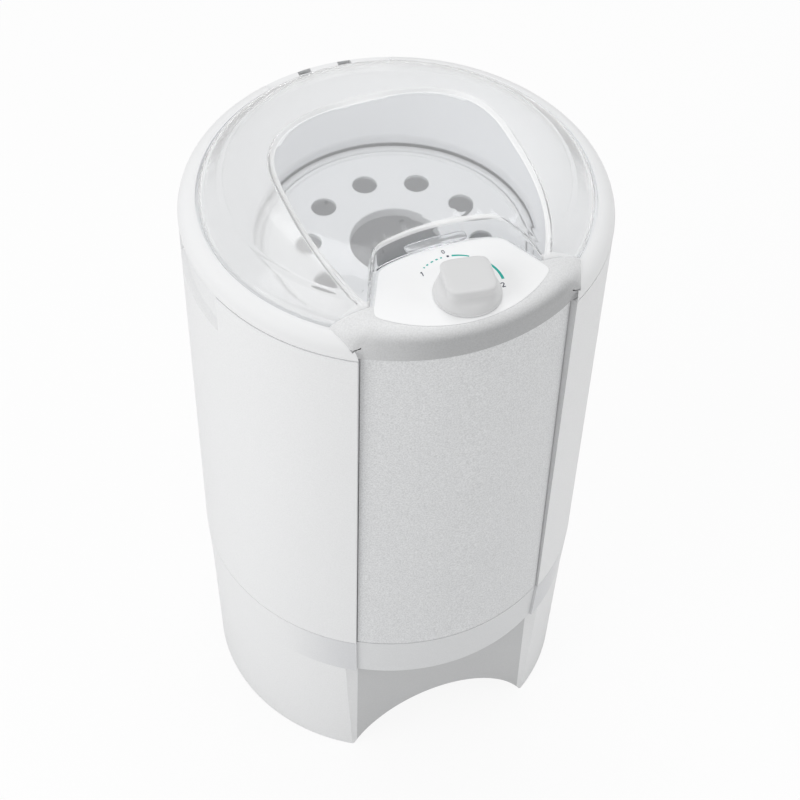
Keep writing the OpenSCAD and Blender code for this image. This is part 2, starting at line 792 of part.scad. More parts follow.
// Pan that closes the basket: its turned-up edge is seamed inside the wall.
module basket_floor() {
    edge_r = basket_r - sheet - 0.1;
    c = [edge_r - 10, basket_z + 10];
    color(steel) difference() {
        rotate_extrude()
            polygon(concat([[18, basket_z], [c[0], basket_z]], arc(c, 10, -72, 0, 5),
                [[edge_r, basket_z + 22], [edge_r - sheet, basket_z + 22]],
                arc(c, 10 - sheet, 0, -72, 5), [[c[0], basket_z + sheet], [18, basket_z + sheet]]));
        // bolts of the hub
        for (i = [0:3])
            rotate([0, 0, 45 + i * 90]) translate([32, 0, basket_z - 1])
                cylinder(r = 3.1, h = 4);
    }
}

module basket_rim() {
    out_r = mouth_r + 1.6;
    in_r = cover_r + 1.1;
    color(white) rotate_extrude()
        polygon([[out_r, mouth_z - 6], [out_r, mouth_z + 8], [out_r - 1, mouth_z + 9],
            [in_r + 1.3, mouth_z + 9], [in_r, mouth_z + 7.6], [in_r, cover_seat_z],
            [in_r - 7, cover_seat_z], [in_r - 7, mouth_z + 0.2], [mouth_r + 0.2, mouth_z + 0.2],
            [mouth_r + 0.2, mouth_z - 6]]);
}

module basket_cover() {
    low = cover_seat_z + fit;
    top = low + cover_rim_h - 1.2;
    color(white) difference() {
        rotate_extrude()
            polygon([[cover_centre_r, low - 4], [cover_centre_r, top - 0.6], [cover_centre_r + 0.6, top],
                [cover_r - 5, top], [cover_r - 3.6, top + 1.2], [cover_r - 0.8, top + 1.2],
                [cover_r, top + 0.4], [cover_r, low], [cover_r - 3, low], [cover_r - 3, top - cover_t],
                [cover_centre_r + 2.4, top - cover_t], [cover_centre_r + 2.4, low - 4]]);
        for (i = [0:cover_holes - 1])
            translate(concat(polar(cover_circle_r, 180 + i * 360 / cover_holes), low - 5))
                cylinder(r = cover_hole_r, h = 20);
    }
}

module basket_hub() {
    color(steel) difference() {
        rotate_extrude()
            polygon([[0, hub_z], [14, hub_z], [17, hub_z + 3], [42, basket_z - 5], [42, basket_z],
                [17.6, basket_z], [17.6, basket_z + 6], [13, basket_z + 22], [0, basket_z + 22]]);
        cylinder(r = shaft_r + 0.02, h = far);
        for (i = [0:3])
            rotate([0, 0, 45 + i * 90]) translate([32, 0, hub_z - 1])
                cylinder(r = 3.1, h = 40);
    }
}

module hub_bolts() {
    color(zinc) for (i = [0:3])
        rotate([0, 0, 45 + i * 90]) translate([32, 0, 0]) {
            translate([0, 0, basket_z - 9]) cylinder(r = 3, h = 9 + sheet + 1);
            translate([0, 0, basket_z + sheet]) cylinder(r = 5.5, h = 4, $fn = 6);
        }
}

module hub_nut() {
    color(zinc) difference() {
        translate([0, 0, basket_z + 22]) {
            cylinder(r = 12, h = 2);
            cylinder(r = 10.5, h = 11, $fn = 6);
        }
        cylinder(r = shaft_r + 0.02, h = far);
    }
}

module hub_cap() {
    z0 = basket_z + sheet;
    color(white) rotate_extrude()
        polygon(concat([[46, z0], [48.5, z0], [48.5, z0 + 1.5], [30, z0 + 22]],
            arc([0, z0 + 31], 26, 0, 90, 8), arc([0, z0 + 31], 23.5, 90, 0, 8), [[27.6, z0 + 21]]));
}

// ---------------------------------------------------------------- tub

module tub() {
    rise = 6;
    out_r = tub_r + wall;
    color(white) difference() {
        union() {
            rotate_extrude()
                polygon(concat([[collar_r, tub_z + rise], [collar_r, tub_z + rise + 14],
                        [collar_r + wall, tub_z + rise + 14], [collar_r + wall, tub_z + rise + wall],
                        [tub_r - 13, tub_z + wall + 0.7]],
                    arc([tub_r - 13, tub_z + 16.5], 13, -80, 0, 5),
                    [[tub_r, tub_top_z], [out_r, tub_top_z]],
                    arc([tub_r - 13, tub_z + 16], 16, 0, -90, 6)));
            // drain nipple
            translate([0, -drain_y, tub_z - 14]) cylinder(r = spout_r, h = 17.5);
        }
        translate([0, -drain_y, tub_z - 20]) cylinder(r = spout_r - 2.5, h = 40);
    }
}

module tub_gasket() {
    color(rubber)
        tube(tub_r + wall + 1, tub_r - 1, tub_top_z, gasket_h);
}

module drain_sleeve() {
    top = tub_z - 1;
    low = deck_z + 8;
    color(rubber) translate([0, -drain_y, 0]) rotate_extrude()
        polygon([[spout_r + fit, low - 4], [spout_r + 2.5, low - 4], [spout_r + 2.5, low + 6],
            [spout_r + 5, low + 10], [spout_r + 2.5, low + 14], [spout_r + 5, low + 18],
            [spout_r + 2.5, low + 22], [spout_r + 2.5, top - 1], [spout_r + fit, top - 1],
            [spout_r + fit, low + 22], [spout_r + 2.8, low + 18], [spout_r + fit, low + 14],
            [spout_r + 2.8, low + 10], [spout_r + fit, low + 6]]);
}

module drain_spout() {
    color(light_grey) translate([0, -drain_y, 0]) rotate_extrude()
        polygon([[spout_r - 2.5, spout_z], [spout_r, spout_z], [spout_r, deck_z - deck_t - 12],
            [spout_r + 5.5, deck_z - deck_t - 10 - fit], [spout_r + 5.5, deck_z - deck_t - 10 - fit + eps],
            [spout_r + 2.6, deck_z - deck_t - 10], [spout_r + 2.6, deck_z + 1.6], [spout_r, deck_z + 3],
            [spout_r, deck_z + 17], [spout_r - 2.5, deck_z + 17]]);
}

// ---------------------------------------------------------------- drive

module motor_plate() {
    color(zinc) difference() {
        union() {
            translate([0, 0, plate_z]) cylinder(r = motor_r + 8, h = plate_t);
            for (a = mount_az) rotate([0, 0, a]) {
                translate([-18, -mount_circle_r, plate_z]) cube([36, mount_circle_r, plate_t]);
                translate([0, -mount_circle_r, plate_z]) cylinder(r = 18, h = plate_t);
            }
        }
        translate([0, 0, plate_z - 1]) cylinder(r = bearing_r - 5, h = plate_t + 2);
        for (a = mount_az)
            translate(concat(polar(mount_circle_r, a), plate_z - 1))
                cylinder(r = 3.2, h = plate_t + 2);
    }
}

module suspension_mounts() {
    low = deck_z + 10;
    h = plate_z - low;
    color(rubber) for (a = mount_az)
        translate(concat(polar(mount_circle_r, a), low)) difference() {
            rotate_extrude()
                polygon([[0, 0], [mount_r, 0], [mount_r, h * 0.2], [mount_r - 3, h * 0.35],
                    [mount_r - 3, h * 0.65], [mount_r, h * 0.8], [mount_r, h], [0, h]]);
            translate([0, 0, -1]) cylinder(r = 3.2, h = h + 2);
        }
}

module mount_bolts() {
    low = deck_z - deck_t;
    color(zinc) for (a = mount_az)
        translate(concat(polar(mount_circle_r, a), 0)) {
            translate([0, 0, low - 4]) cylinder(r = 5.8, h = 4, $fn = 6);
            translate([0, 0, low - 1]) cylinder(r = 3, h = plate_z + plate_t + 6.5 - low);
            translate([0, 0, plate_z + plate_t]) cylinder(r = 5.8, h = 5, $fn = 6);
        }
}

module motor_housing() {
    color(zinc) difference() {
        union() {
            tube(motor_r, motor_r - wall, motor_bottom_z + 8, motor_h - 8);
            tube(motor_r + 7, motor_r - wall, plate_z - wall, wall);
            for (i = [0:23])
                rotate([0, 0, i * 15 + 7.5])
                    translate([motor_r - 1, -1, motor_bottom_z + 16]) cube([4, 2, motor_h - 22]);
        }
        for (i = [0:11])
            rotate([0, 0, i * 30]) translate([0, -3, plate_z - 20]) cube([far, 6, 10]);
    }
}

module motor_end_cap() {
    seat_r = bearing_r + 4;
    color(zinc) difference() {
        union() {
            translate([0, 0, motor_bottom_z]) rotate_extrude()
                polygon([[9, 0], [motor_r - 6, 0], [motor_r, 5], [motor_r, 8], [motor_r - wall, 8],
                    [motor_r - wall - 3, 3], [seat_r, 3],
                    [seat_r, 4 + bearing_w], [bearing_r + 0.05, 4 + bearing_w],
                    [bearing_r + 0.05, 3], [9, 3]]);
        }
        for (i = [0:7])
            rotate([0, 0, i * 45]) translate([seat_r + 8, -3, motor_bottom_z - 1]) cube([22, 6, 6]);
    }
}

module bearing(z) {
    groove = [shaft_r + shaft_fit + 3, bearing_r - 3];
    color(steel) rotate_extrude()
        polygon([[shaft_r + shaft_fit, z], [groove[0], z], [groove[0], z + 1], [groove[1], z + 1],
            [groove[1], z], [bearing_r, z], [bearing_r, z + bearing_w], [groove[1], z + bearing_w],
            [groove[1], z + bearing_w - 1], [groove[0], z + bearing_w - 1], [groove[0], z + bearing_w],
            [shaft_r + shaft_fit, z + bearing_w]]);
}

module lower_bearing() {
    bearing(motor_bottom_z + 3 + eps);
}

module upper_bearing() {
    bearing(housing_z + 5 + eps);
}

module bearing_housing() {
    color(steel) rotate_extrude()
        polygon([[10, housing_z], [44, housing_z], [44, housing_z + 4], [28, housing_z + 6],
            [26, housing_z + 10], [26, housing_z + 24.5], [bearing_r + 0.05, housing_z + 24.5],
            [bearing_r + 0.05, housing_z + 5], [10, housing_z + 5]]);
}

module shaft_seal() {
    z = housing_z + 5 + bearing_w + 0.5;
    color(rubber) rotate_extrude()
        polygon([[shaft_r + 0.1, z + 3], [shaft_r + 2, z], [bearing_r, z], [bearing_r, z + 7.5],
            [bearing_r - 3, z + 7.5], [bearing_r - 3, z + 3], [shaft_r + 3, z + 3],
            [shaft_r + 2, z + 7], [shaft_r + 0.1, z + 5]]);
}

module tub_bellows() {
    z = tub_z + 20;
    t = 1.6;
    color(rubber) rotate_extrude()
        polygon([[26.2, z - 9], [28, z - 9], [28, z - 1], [29, z - 1], [32, z - 9],
            [34, z - 9], [36.5, z - 2], [39, z - 9], [41, z - 9],
            [collar_r - 4, z + fit], [collar_r + wall + fit, z + fit],
            [collar_r + wall + fit, z - 7], [collar_r + wall + fit + t, z - 7],
            [collar_r + wall + fit + t, z + fit + t], [collar_r - 4.5, z + fit + t], [40.3, z - 6.5],
            [39.7, z - 6.5], [37.2, z], [35.8, z], [33.3, z - 6.5],
            [32.7, z - 6.5], [30, z + 1], [26.2, z + 1]]);
}

module drive_shaft() {
    color(steel) translate([0, 0, motor_bottom_z + 1])
        cylinder(r = shaft_r, h = shaft_top_z - motor_bottom_z - 1);
}

module rotor() {
    z = motor_bottom_z + 24;
    color(steel) difference() {
        union() {
            translate([0, 0, z]) cylinder(r = rotor_r, h = stack_h);
            tube(rotor_r - 3, rotor_r - 12, z - 5, stack_h + 10);
        }
        cylinder(r = shaft_r + 0.02, h = far);
    }
}

module stator_core() {
    z = motor_bottom_z + 24;
    bore_r = rotor_r + air_gap;
    color(steel) difference() {
        tube(motor_r - wall - 0.1, bore_r, z, stack_h);
        for (i = [0:11])
            rotate([0, 0, i * 30]) translate([bore_r + 3, -3.5, z - 1]) cube([9, 7, stack_h + 2]);
        for (i = [0:11])
            rotate([0, 0, i * 30]) translate([bore_r - 1, -1.2, z - 1]) cube([6, 2.4, stack_h + 2]);
    }
}

module stator_windings() {
    z = motor_bottom_z + 24;
    low_r = rotor_r + air_gap + 3;
    color(copper) for (zc = [z - 6.2, z + stack_h + 6.2])
        rotate_extrude() translate([low_r + 7, zc]) circle(r = 6, $fn = 32);
}

// ---------------------------------------------------------------- electrics

module capacitor() {
    color(light_grey) translate(concat(polar(cap_circle_r, 240), deck_z - deck_t - cap_l - 2)) {
        cylinder(r = cap_r, h = cap_l);
        for (x = [-6, 6]) translate([x - 0.4, -3, -9]) cube([0.8, 6, 10]);
    }
}

module capacitor_clamp() {
    z = deck_z - deck_t;
    strap_r = cap_r + fit;
    color(zinc) translate(polar(cap_circle_r, 240)) {
        translate([0, 0, z - 44]) difference() {
            cylinder(r = strap_r + 1.5, h = 14);
            translate([0, 0, -1]) cylinder(r = strap_r, h = 16);
        }
        translate([strap_r + 0.5, -6, z - 44]) cube([2, 12, 44]);
        translate([strap_r + 0.5, -6, z - 2]) cube([14, 12, 2]);
    }
}

module cord_gland() {
    y = shoulder_r;
    color(rubber) translate([0, 0, gland_z]) rotate([-90, 0, 0]) rotate_extrude()
        polygon([[3.6, y - 11], [gland_r + 2, y - 11], [gland_r + 2, y - 9], [gland_r - 0.3, y - 9],
            [gland_r - 0.3, y + fit], [gland_r + 4, y + fit], [gland_r + 4, y + 2], [gland_r + 2, y + 3.5],
            [3.6, y + 3.5]]);
}

module timer() {
    top = console_z - wall - fit;
    color(light_grey) translate([knob_x, -knob_y, 0]) difference() {
        union() {
            translate([0, 0, top - timer_h]) cylinder(r = timer_r, h = timer_h);
            translate([0, 0, top - 1]) cylinder(r = 5.5, h = 4);
        }
        translate([0, 0, top - 14]) cylinder(r = 3.05, h = 30);
    }
}

module timer_shaft() {
    color(zinc) translate([knob_x, -knob_y, console_z - wall - 13])
        cylinder(r = 3, h = wall + 13 + label_t + 14);
}

module timer_knob() {
    z = console_z + label_t + fit;
    c = 8;
    h = knob_h;
    color([0.90, 0.90, 0.91]) translate([knob_x, -knob_y, z]) difference() {
        union() {
            cylinder(r = knob_r, h = 1.6);
            hull() {
                translate([0, 0, 1.6]) cylinder(r = knob_r - 0.4, h = 0.4, $fn = 48);
                rotate([0, 0, grip_turn]) for (x = [-1, 1], y = [-1, 1])
                    translate([x * (grip_w / 2 - c), y * (grip_w / 2 - c), h - 3])
                        cylinder(r = c, h = 1, $fn = 24);
                rotate([0, 0, grip_turn]) for (x = [-1, 1], y = [-1, 1])
                    translate([x * (grip_w / 2 - c), y * (grip_w / 2 - c), h - 1])
                        cylinder(r = c - 1.6, h = 1, $fn = 24);
            }
        }
        translate([0, 0, -1]) cylinder(r = 3.02, h = 16);
    }
}

base();
drive_deck();
cabinet();
front_panel();
top_ring();
funnel();
control_label();
rubber_feet();
tub();
tub_gasket();
drain_spout();
drain_sleeve();
motor_plate();
suspension_mounts();
mount_bolts();
motor_housing();
motor_end_cap();
stator_core();
stator_windings();
rotor();
drive_shaft();
lower_bearing();
upper_bearing();
bearing_housing();
shaft_seal();
tub_bellows();
capacitor();
capacitor_clamp();
cord_gland();
basket();
basket_floor();
basket_rim();
basket_hub();
hub_bolts();
hub_nut();
hub_cap();
basket_cover();
lid();
hinge_pins();
timer();
timer_shaft();
timer_knob();
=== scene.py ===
import math
import bmesh
import bpy
import numpy as np
from mathutils import Matrix


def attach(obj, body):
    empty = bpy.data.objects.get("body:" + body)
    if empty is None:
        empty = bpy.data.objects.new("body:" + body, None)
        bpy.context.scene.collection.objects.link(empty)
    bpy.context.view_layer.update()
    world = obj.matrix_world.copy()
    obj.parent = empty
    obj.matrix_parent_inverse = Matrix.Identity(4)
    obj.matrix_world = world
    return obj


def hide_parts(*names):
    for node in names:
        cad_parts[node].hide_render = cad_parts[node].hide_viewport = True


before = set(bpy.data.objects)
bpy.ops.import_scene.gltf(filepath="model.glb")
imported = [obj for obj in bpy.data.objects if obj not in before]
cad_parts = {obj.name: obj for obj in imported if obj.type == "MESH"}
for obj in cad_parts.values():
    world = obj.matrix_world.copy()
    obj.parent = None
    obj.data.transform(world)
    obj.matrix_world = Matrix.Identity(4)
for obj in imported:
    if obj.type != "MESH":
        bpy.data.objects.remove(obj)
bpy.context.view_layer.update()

# ---------------------------------------------------------------- room
# Plain pale floor under a white room, with a broad soft lamp on the left, a weaker one on the
# right and one overhead. The camera stands in front, a little to the left, looking down.

scene = bpy.context.scene
scene.view_settings.view_transform = "Standard"


def lamp(name, place, aim, size, watts):
    """A square soft lamp at place that shines towards aim and isn't seen in glossy skin."""
    light = bpy.data.lights.new(name, "AREA")
    light.shape = "SQUARE"
    light.size = size
    light.energy = watts
    holder = bpy.data.objects.new(name, light)
    scene.collection.objects.link(holder)
    away = np.array(place, float) - np.array(aim, float)
    holder.visible_glossy = False
    holder.location = place
    holder.rotation_euler = (math.acos(away[2] / np.linalg.norm(away)), 0,
                             math.atan2(away[0], -away[1]))


lamp("lamp_left", (-2.9, -0.7, 2.0), (0, 0, 0.4), 2.4, 45)
lamp("lamp_right", (2.7, -1.9, 1.5), (0, 0, 0.4), 1.8, 21)
lamp("lamp_top", (0.3, 0.9, 3.0), (0, 0, 0.6), 1.6, 25)


def feed(tree, socket, value):
    """Links the socket to another node's output, or sets it to a number or a colour."""
    if isinstance(value, bpy.types.NodeSocket):
        tree.links.new(value, socket)
    else:
        socket.default_value = value


def maths(tree, operation, *values):
    """The output of a new Math node over numbers and other nodes' outputs."""
    node = tree.nodes.new("ShaderNodeMath")
    node.operation = operation
    for i, value in enumerate(values):
        feed(tree, node.inputs[i], value)
    return node.outputs[0]


def map_range(tree, value, to, start=(0.0, 1.0), kind="LINEAR"):
    """Carries the value from the range start to the range to."""
    node = tree.nodes.new("ShaderNodeMapRange")
    node.interpolation_type = kind
    for socket, end in zip(("From Min", "From Max", "To Min", "To Max"), (*start, *to)):
        node.inputs[socket].default_value = end
    tree.links.new(value, node.inputs["Value"])
    return node.outputs["Result"]


def either_ray(tree, first, second):
    """1 for light rays of the two kinds, 0 for all others."""
    path = tree.nodes.new("ShaderNodeLightPath")
    return maths(tree, "MAXIMUM", path.outputs[first], path.outputs[second])


def mix_shaders(tree, share, first, second):
    """Gives the material the first shader, and the second by the share."""
    blend = tree.nodes.new("ShaderNodeMixShader")
    tree.links.new(share, blend.inputs["Fac"])
    tree.links.new(first.outputs[0], blend.inputs[1])
    tree.links.new(second.outputs[0], blend.inputs[2])
    tree.links.new(blend.outputs[0], tree.nodes["Material Output"].inputs["Surface"])


# the world and the floor look whiter than the light they give
room_level, floor_glow = 0.52, 0.91
room = bpy.data.worlds.new("white_room")
room.use_nodes = True
scene.world = room
air = room.node_tree
sky = air.nodes["Background"]
sky.inputs["Color"].default_value = (1, 1, 1, 1)
seen = either_ray(air, "Is Camera Ray", "Is Transmission Ray")
air.links.new(map_range(air, seen, (room_level, 1.0)), sky.inputs["Strength"])

side = 4.0
floor_mesh = bpy.data.meshes.new("floor")
floor_mesh.from_pydata([(-side, -side, 0), (side, -side, 0), (side, side, 0), (-side, side, 0)],
                       [], [(0, 1, 2, 3)])
floor = bpy.data.objects.new("floor", floor_mesh)
scene.collection.objects.link(floor)
pale = bpy.data.materials.new("pale_floor")
pale.use_nodes = True
tree = pale.node_tree
tree.nodes.remove(tree.nodes["Principled BSDF"])
matt = tree.nodes.new("ShaderNodeBsdfDiffuse")
matt.inputs["Color"].default_value = (0.86, 0.86, 0.86, 1)
glow = tree.nodes.new("ShaderNodeEmission")
glow.inputs["Strength"].default_value = 1.0
seen = either_ray(tree, "Is Camera Ray", "Is Transmission Ray")
mix_shaders(tree, maths(tree, "MULTIPLY", seen, floor_glow), matt, glow)
floor_mesh.materials.append(pale)

eye = bpy.data.cameras.new("camera")
eye.lens = 88.6
eye.sensor_width = 36.0
eye_holder = bpy.data.objects.new("camera", eye)
scene.collection.objects.link(eye_holder)
heading, pitch, roll = math.radians(23.115), 0.8507, 0.0334
eye_holder.matrix_world = (Matrix.Translation((-0.4992, -1.1923, 1.8271))
                           @ Matrix.Rotation(-heading, 4, "Z")
                           @ Matrix.Rotation(math.pi / 2 - pitch, 4, "X")
                           @ Matrix.Rotation(roll, 4, "Z"))
scene.camera = eye_holder

# ---------------------------------------------------------------- base and cabinet
# The stepped foot and the tall casing are injection moulded in white plastic with a soft gloss.
# The cabinet drops over a spigot of the base and is screwed from below.


def new_material(name):
    """A node material: gives the material, its tree and its main shader."""
    made = bpy.data.materials.new(name)
    made.use_nodes = True
    return made, made.node_tree, made.node_tree.nodes["Principled BSDF"]


def noise(tree, vector, scale, detail):
    """The grey value of a new noise over the vector."""
    node = tree.nodes.new("ShaderNodeTexNoise")
    feed(tree, node.inputs["Scale"], scale)
    node.inputs["Detail"].default_value = detail
    tree.links.new(vector, node.inputs["Vector"])
    return node.outputs["Fac"]


def bump(tree, height, strength, distance):
    """The normal from a height, with the distance in metres."""
    node = tree.nodes.new("ShaderNodeBump")
    feed(tree, node.inputs["Strength"], strength)
    node.inputs["Distance"].default_value = distance
    tree.links.new(height, node.inputs["Height"])
    return node.outputs[0]


def make_skin_group():
    """Moulded skin. A fine noise gives the grain's normal and a speckle, and a broad noise lets
    the colour and the gloss drift."""
    group = bpy.data.node_groups.new("moulded_skin", "ShaderNodeTree")
    face = group.interface
    for label, kind, value in (("Colour", "NodeSocketColor", (0.8, 0.8, 0.8, 1)),
                               ("Grain Size", "NodeSocketFloat", 0.0012),
                               ("Grain Depth", "NodeSocketFloat", 0.1),
                               ("Speckle", "NodeSocketFloat", 0.02),
                               ("Drift", "NodeSocketFloat", 0.03),
                               ("Roughness", "NodeSocketFloat", 0.35)):
        face.new_socket(label, in_out="INPUT", socket_type=kind).default_value = value
    for label, kind in (("Colour", "NodeSocketColor"), ("Roughness", "NodeSocketFloat"),
                        ("Normal", "NodeSocketVector")):
        face.new_socket(label, in_out="OUTPUT", socket_type=kind)
    given = group.nodes.new("NodeGroupInput")
    out = group.nodes.new("NodeGroupOutput")
    where = group.nodes.new("ShaderNodeTexCoord")
    per_metre = maths(group, "DIVIDE", 1.0, given.outputs["Grain Size"])
    grain = noise(group, where.outputs["Object"], per_metre, 2.0)
    broad = noise(group, where.outputs["Object"], 9.0, 3.0)

    def around_one(source, amount):
        """1 + (source - 0.5) * 2 * amount."""
        centred = maths(group, "MULTIPLY_ADD", source, 2.0, -1.0)
        return maths(group, "MULTIPLY_ADD", centred, given.outputs[amount], 1.0)

    drift = around_one(broad, "Drift")
    shade = group.nodes.new("ShaderNodeVectorMath")
    shade.operation = "SCALE"
    group.links.new(given.outputs["Colour"], shade.inputs[0])
    group.links.new(maths(group, "MULTIPLY", around_one(grain, "Speckle"), drift),
                    shade.inputs["Scale"])
    for label, value in (("Colour", shade.outputs[0]),
                         ("Roughness", maths(group, "MULTIPLY", given.outputs["Roughness"], drift)),
                         ("Normal", bump(group, grain, given.outputs["Grain Depth"], 0.0003))):
        group.links.new(value, out.inputs[label])
    return group


moulded_skin = make_skin_group()


def moulded(name, colour, rough, grain=0.0012, depth=0.1, speckle=0.02, drift=0.03):
    """A plastic or rubber finish whose colour, gloss and normal come from the moulded skin."""
    made, tree, main = new_material(name)
    skin = tree.nodes.new("ShaderNodeGroup")
    skin.node_tree = moulded_skin
    for label, value in (("Colour", (*colour, 1)), ("Roughness", rough), ("Grain Size", grain),
                         ("Grain Depth", depth), ("Speckle", speckle), ("Drift", drift)):
        skin.inputs[label].default_value = value
    for label, use in (("Colour", "Base Color"), ("Roughness", "Roughness"), ("Normal", "Normal")):
        tree.links.new(skin.outputs[label], main.inputs[use])
    return made


def dress(names, material):
    """Puts the material on every face of the named CAD nodes."""
    for name in names:
        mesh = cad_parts[name].data
        if not mesh.materials:
            mesh.materials.append(material)
        for i in range(len(mesh.materials)):
            mesh.materials[i] = material


white_tone = (0.84, 0.845, 0.85)
grey_tone = (0.74, 0.748, 0.756)
# a darker grey, painted shade: the base's front sunk under the cabinet's overhang, and the
# cabinet's creases
shaded_grey_tone = (0.6, 0.605, 0.61)
# painted shade: a band on the base's shoulder beside the front wedge, over change_z
painted_shade_band_tone = (0.7, 0.708, 0.725)
casing_white = moulded("casing_white", white_tone, 0.3, depth=0.05, speckle=0.006, drift=0.01)


def placed_skin(name, *finish):
    """A moulded finish whose colour is still to be linked: gives the material, its tree, the
    colour's socket and the outputs X, Y and Z of the place on the object."""
    made = moulded(name, white_tone, *finish)
    tree = made.node_tree
    skin = next(n for n in tree.nodes if n.type == "GROUP")
    where = tree.nodes.new("ShaderNodeTexCoord")
    parts = tree.nodes.new("ShaderNodeSeparateXYZ")
    tree.links.new(where.outputs["Object"], parts.inputs[0])
    return made, tree, skin.inputs["Colour"], parts.outputs


def mix_tones(tree, share, first, second):
    """The first colour, and the second by the share; each is a tone or a node's output."""
    node = tree.nodes.new("ShaderNodeMix")
    node.data_type = "RGBA"
    tree.links.new(share, node.inputs["Factor"])
    for label, value in (("A", first), ("B", second)):
        feed(tree, node.inputs[label], (*value, 1) if isinstance(value, tuple) else value)
    return node.outputs["Result"]


def grey_and_shade(name, half_angle, low, high, beside, change_z):
    """White moulding whose front wedge, where |x| < -y tan(half_angle), is grey: the tone low
    under the height change_z and the tone high over it; a low tone darker than the grey is
    painted shade. Beside the wedge and over change_z the white takes the tone beside, on the base
    a painted shade, which clears over 0.1 m."""
    made, tree, colour, at = placed_skin(name, 0.34, 0.0013, 0.3, 0.07, 0.01)
    past = maths(tree, "MULTIPLY_ADD", at["Y"], math.tan(half_angle),
                 maths(tree, "ABSOLUTE", at["X"]))
    above = maths(tree, "GREATER_THAN", at["Z"], change_z)
    fade = map_range(tree, past, (1.0, 0.0), (0.0, 0.1), "SMOOTHSTEP")
    whites = mix_tones(tree, maths(tree, "MULTIPLY", above, fade), white_tone, beside)
    greys = mix_tones(tree, above, low, high)
    tree.links.new(mix_tones(tree, maths(tree, "LESS_THAN", past, 0.0), whites, greys), colour)
    return made


# on the base the front wedge is grey over change_z and a darker painted shade under it
dress(["base"], grey_and_shade("base_grey_and_shade", math.radians(31.0), shaded_grey_tone, grey_tone, painted_shade_band_tone,
                         0.1489))
# on the cabinet the front wedge, seen in the creases beside the front panel, takes the darker grey
# as painted shade
dress(["cabinet"], grey_and_shade("cabinet_grey_and_shade", math.radians(31.12), shaded_grey_tone, shaded_grey_tone,
                            white_tone, 0.3))

# ---------------------------------------------------------------- feet
# Four rubber buttons pressed into sockets of the base, black with a little dust. The mounts,
# the seals, the drain's sleeve and the cord's gland are of the same rubber.

rubber_black = moulded("rubber_black", (0.028, 0.028, 0.03), 0.62, 0.0008, 0.3, 0.2, 0.15)
dress(["rubber_feet", "suspension_mounts", "shaft_seal", "tub_bellows", "tub_gasket",
       "drain_sleeve", "cord_gland"], rubber_black)

# ---------------------------------------------------------------- deck, tub and drain
# The deck stands on a ledge in the base and carries the tub, both moulded in natural plastic.
# The outlet is pushed through the deck and joined to the tub by a rubber sleeve.

inner_plastic = moulded("inner_plastic", (0.62, 0.63, 0.64), 0.42, 0.0015, 0.15, 0.03, 0.04)
dress(["drive_deck", "tub", "drain_spout", "capacitor", "timer", "capacitor_clamp"],
      inner_plastic)

# ---------------------------------------------------------------- motor
# A plate on rubber mounts hangs the motor under the tub. Its housing is plain steel, the core
# is stacked sheet, the windings are enamelled copper, and the bolts are zinc plated.


def metal(name, colour, rough, along, streak):
    """A metal finish: a noise with a scale for each axis, along, varies the colour, the gloss
    and the normal."""
    made, tree, main = new_material(name)
    where = tree.nodes.new("ShaderNodeTexCoord")
    stretch = tree.nodes.new("ShaderNodeMapping")
    stretch.inputs["Scale"].default_value = along
    tree.links.new(where.outputs["Object"], stretch.inputs["Vector"])
    lines = noise(tree, stretch.outputs[0], 1.0, 4.0)
    tint = tree.nodes.new("ShaderNodeValToRGB")
    tint.color_ramp.elements[0].color = (*[c * (1 - streak) for c in colour], 1)
    tint.color_ramp.elements[1].color = (*[min(1, c * (1 + streak)) for c in colour], 1)
    tree.links.new(lines, tint.inputs["Fac"])
    tree.links.new(tint.outputs["Color"], main.inputs["Base Color"])
    tree.links.new(map_range(tree, lines, (rough * 0.8, rough * 1.25)), main.inputs["Roughness"])
    tree.links.new(bump(tree, lines, 0.15, 0.0002), main.inputs["Normal"])
    main.inputs["Metallic"].default_value = 1.0
    return made


drive_steel = metal("drive_steel", (0.5, 0.5, 0.51), 0.38, (400, 400, 1500), 0.12)
zinc_steel = metal("zinc_steel", (0.66, 0.65, 0.6), 0.32, (900, 900, 900), 0.1)
copper_wire = metal("copper_wire", (0.72, 0.3, 0.13), 0.35, (200, 200, 1800), 0.25)
dress(["motor_plate", "motor_housing", "motor_end_cap", "stator_core", "rotor",
       "bearing_housing"], drive_steel)
dress(["drive_shaft", "lower_bearing", "upper_bearing", "mount_bolts", "hub_bolts", "hub_nut",
       "hinge_pins"], zinc_steel)
dress(["stator_windings"], copper_wire)

# ---------------------------------------------------------------- basket
# The drum is rolled stainless sheet with a pressed floor, bolted to a cast hub. A white
# moulded ring in its mouth carries the loose cover with its ten holes and finger hole.

drum_steel = metal("drum_steel", (0.9, 0.9, 0.905), 0.55, (60, 60, 1400), 0.05)
# light that enters the holes bounces many times in the bright drum; a render with few bounces
# loses it, so a faint glow of the sheet stands in for it
steel = drum_steel.node_tree.nodes["Principled BSDF"]
steel.inputs["Emission Color"].default_value = (0.95, 0.97, 1.0, 1)
steel.inputs["Emission Strength"].default_value = 0.03
dress(["basket", "basket_floor", "basket_hub"], drum_steel)
basket_white = moulded("basket_white", (0.78, 0.785, 0.79), 0.38, 0.0014, 0.08, 0.01, 0.015)
dress(["basket_rim", "basket_cover", "hub_cap"], basket_white)

# ---------------------------------------------------------------- front panel
# The sunk strip down the front, between the two creases of the ring. It is moulded in light
# grey with a fine sparkle grain.

panel_grey = moulded("panel_grey", grey_tone, 0.46, 0.0014, 0.5, 0.32, 0.03)
dress(["front_panel"], panel_grey)

# ---------------------------------------------------------------- top ring
# White moulding that closes the casing: a rolled edge, the channel and the ledge for the lid.
# It stops at two swept creases beside the console, and two slots at the back take the lid's
# arms, with the steel pins held in the moulding on both sides of them.

ledge_z, ledge_r, channel_r = 630.5, 171.5, 178.7
ring_foot, hook_z, seam_r = 618.8, 627.5, 195.0


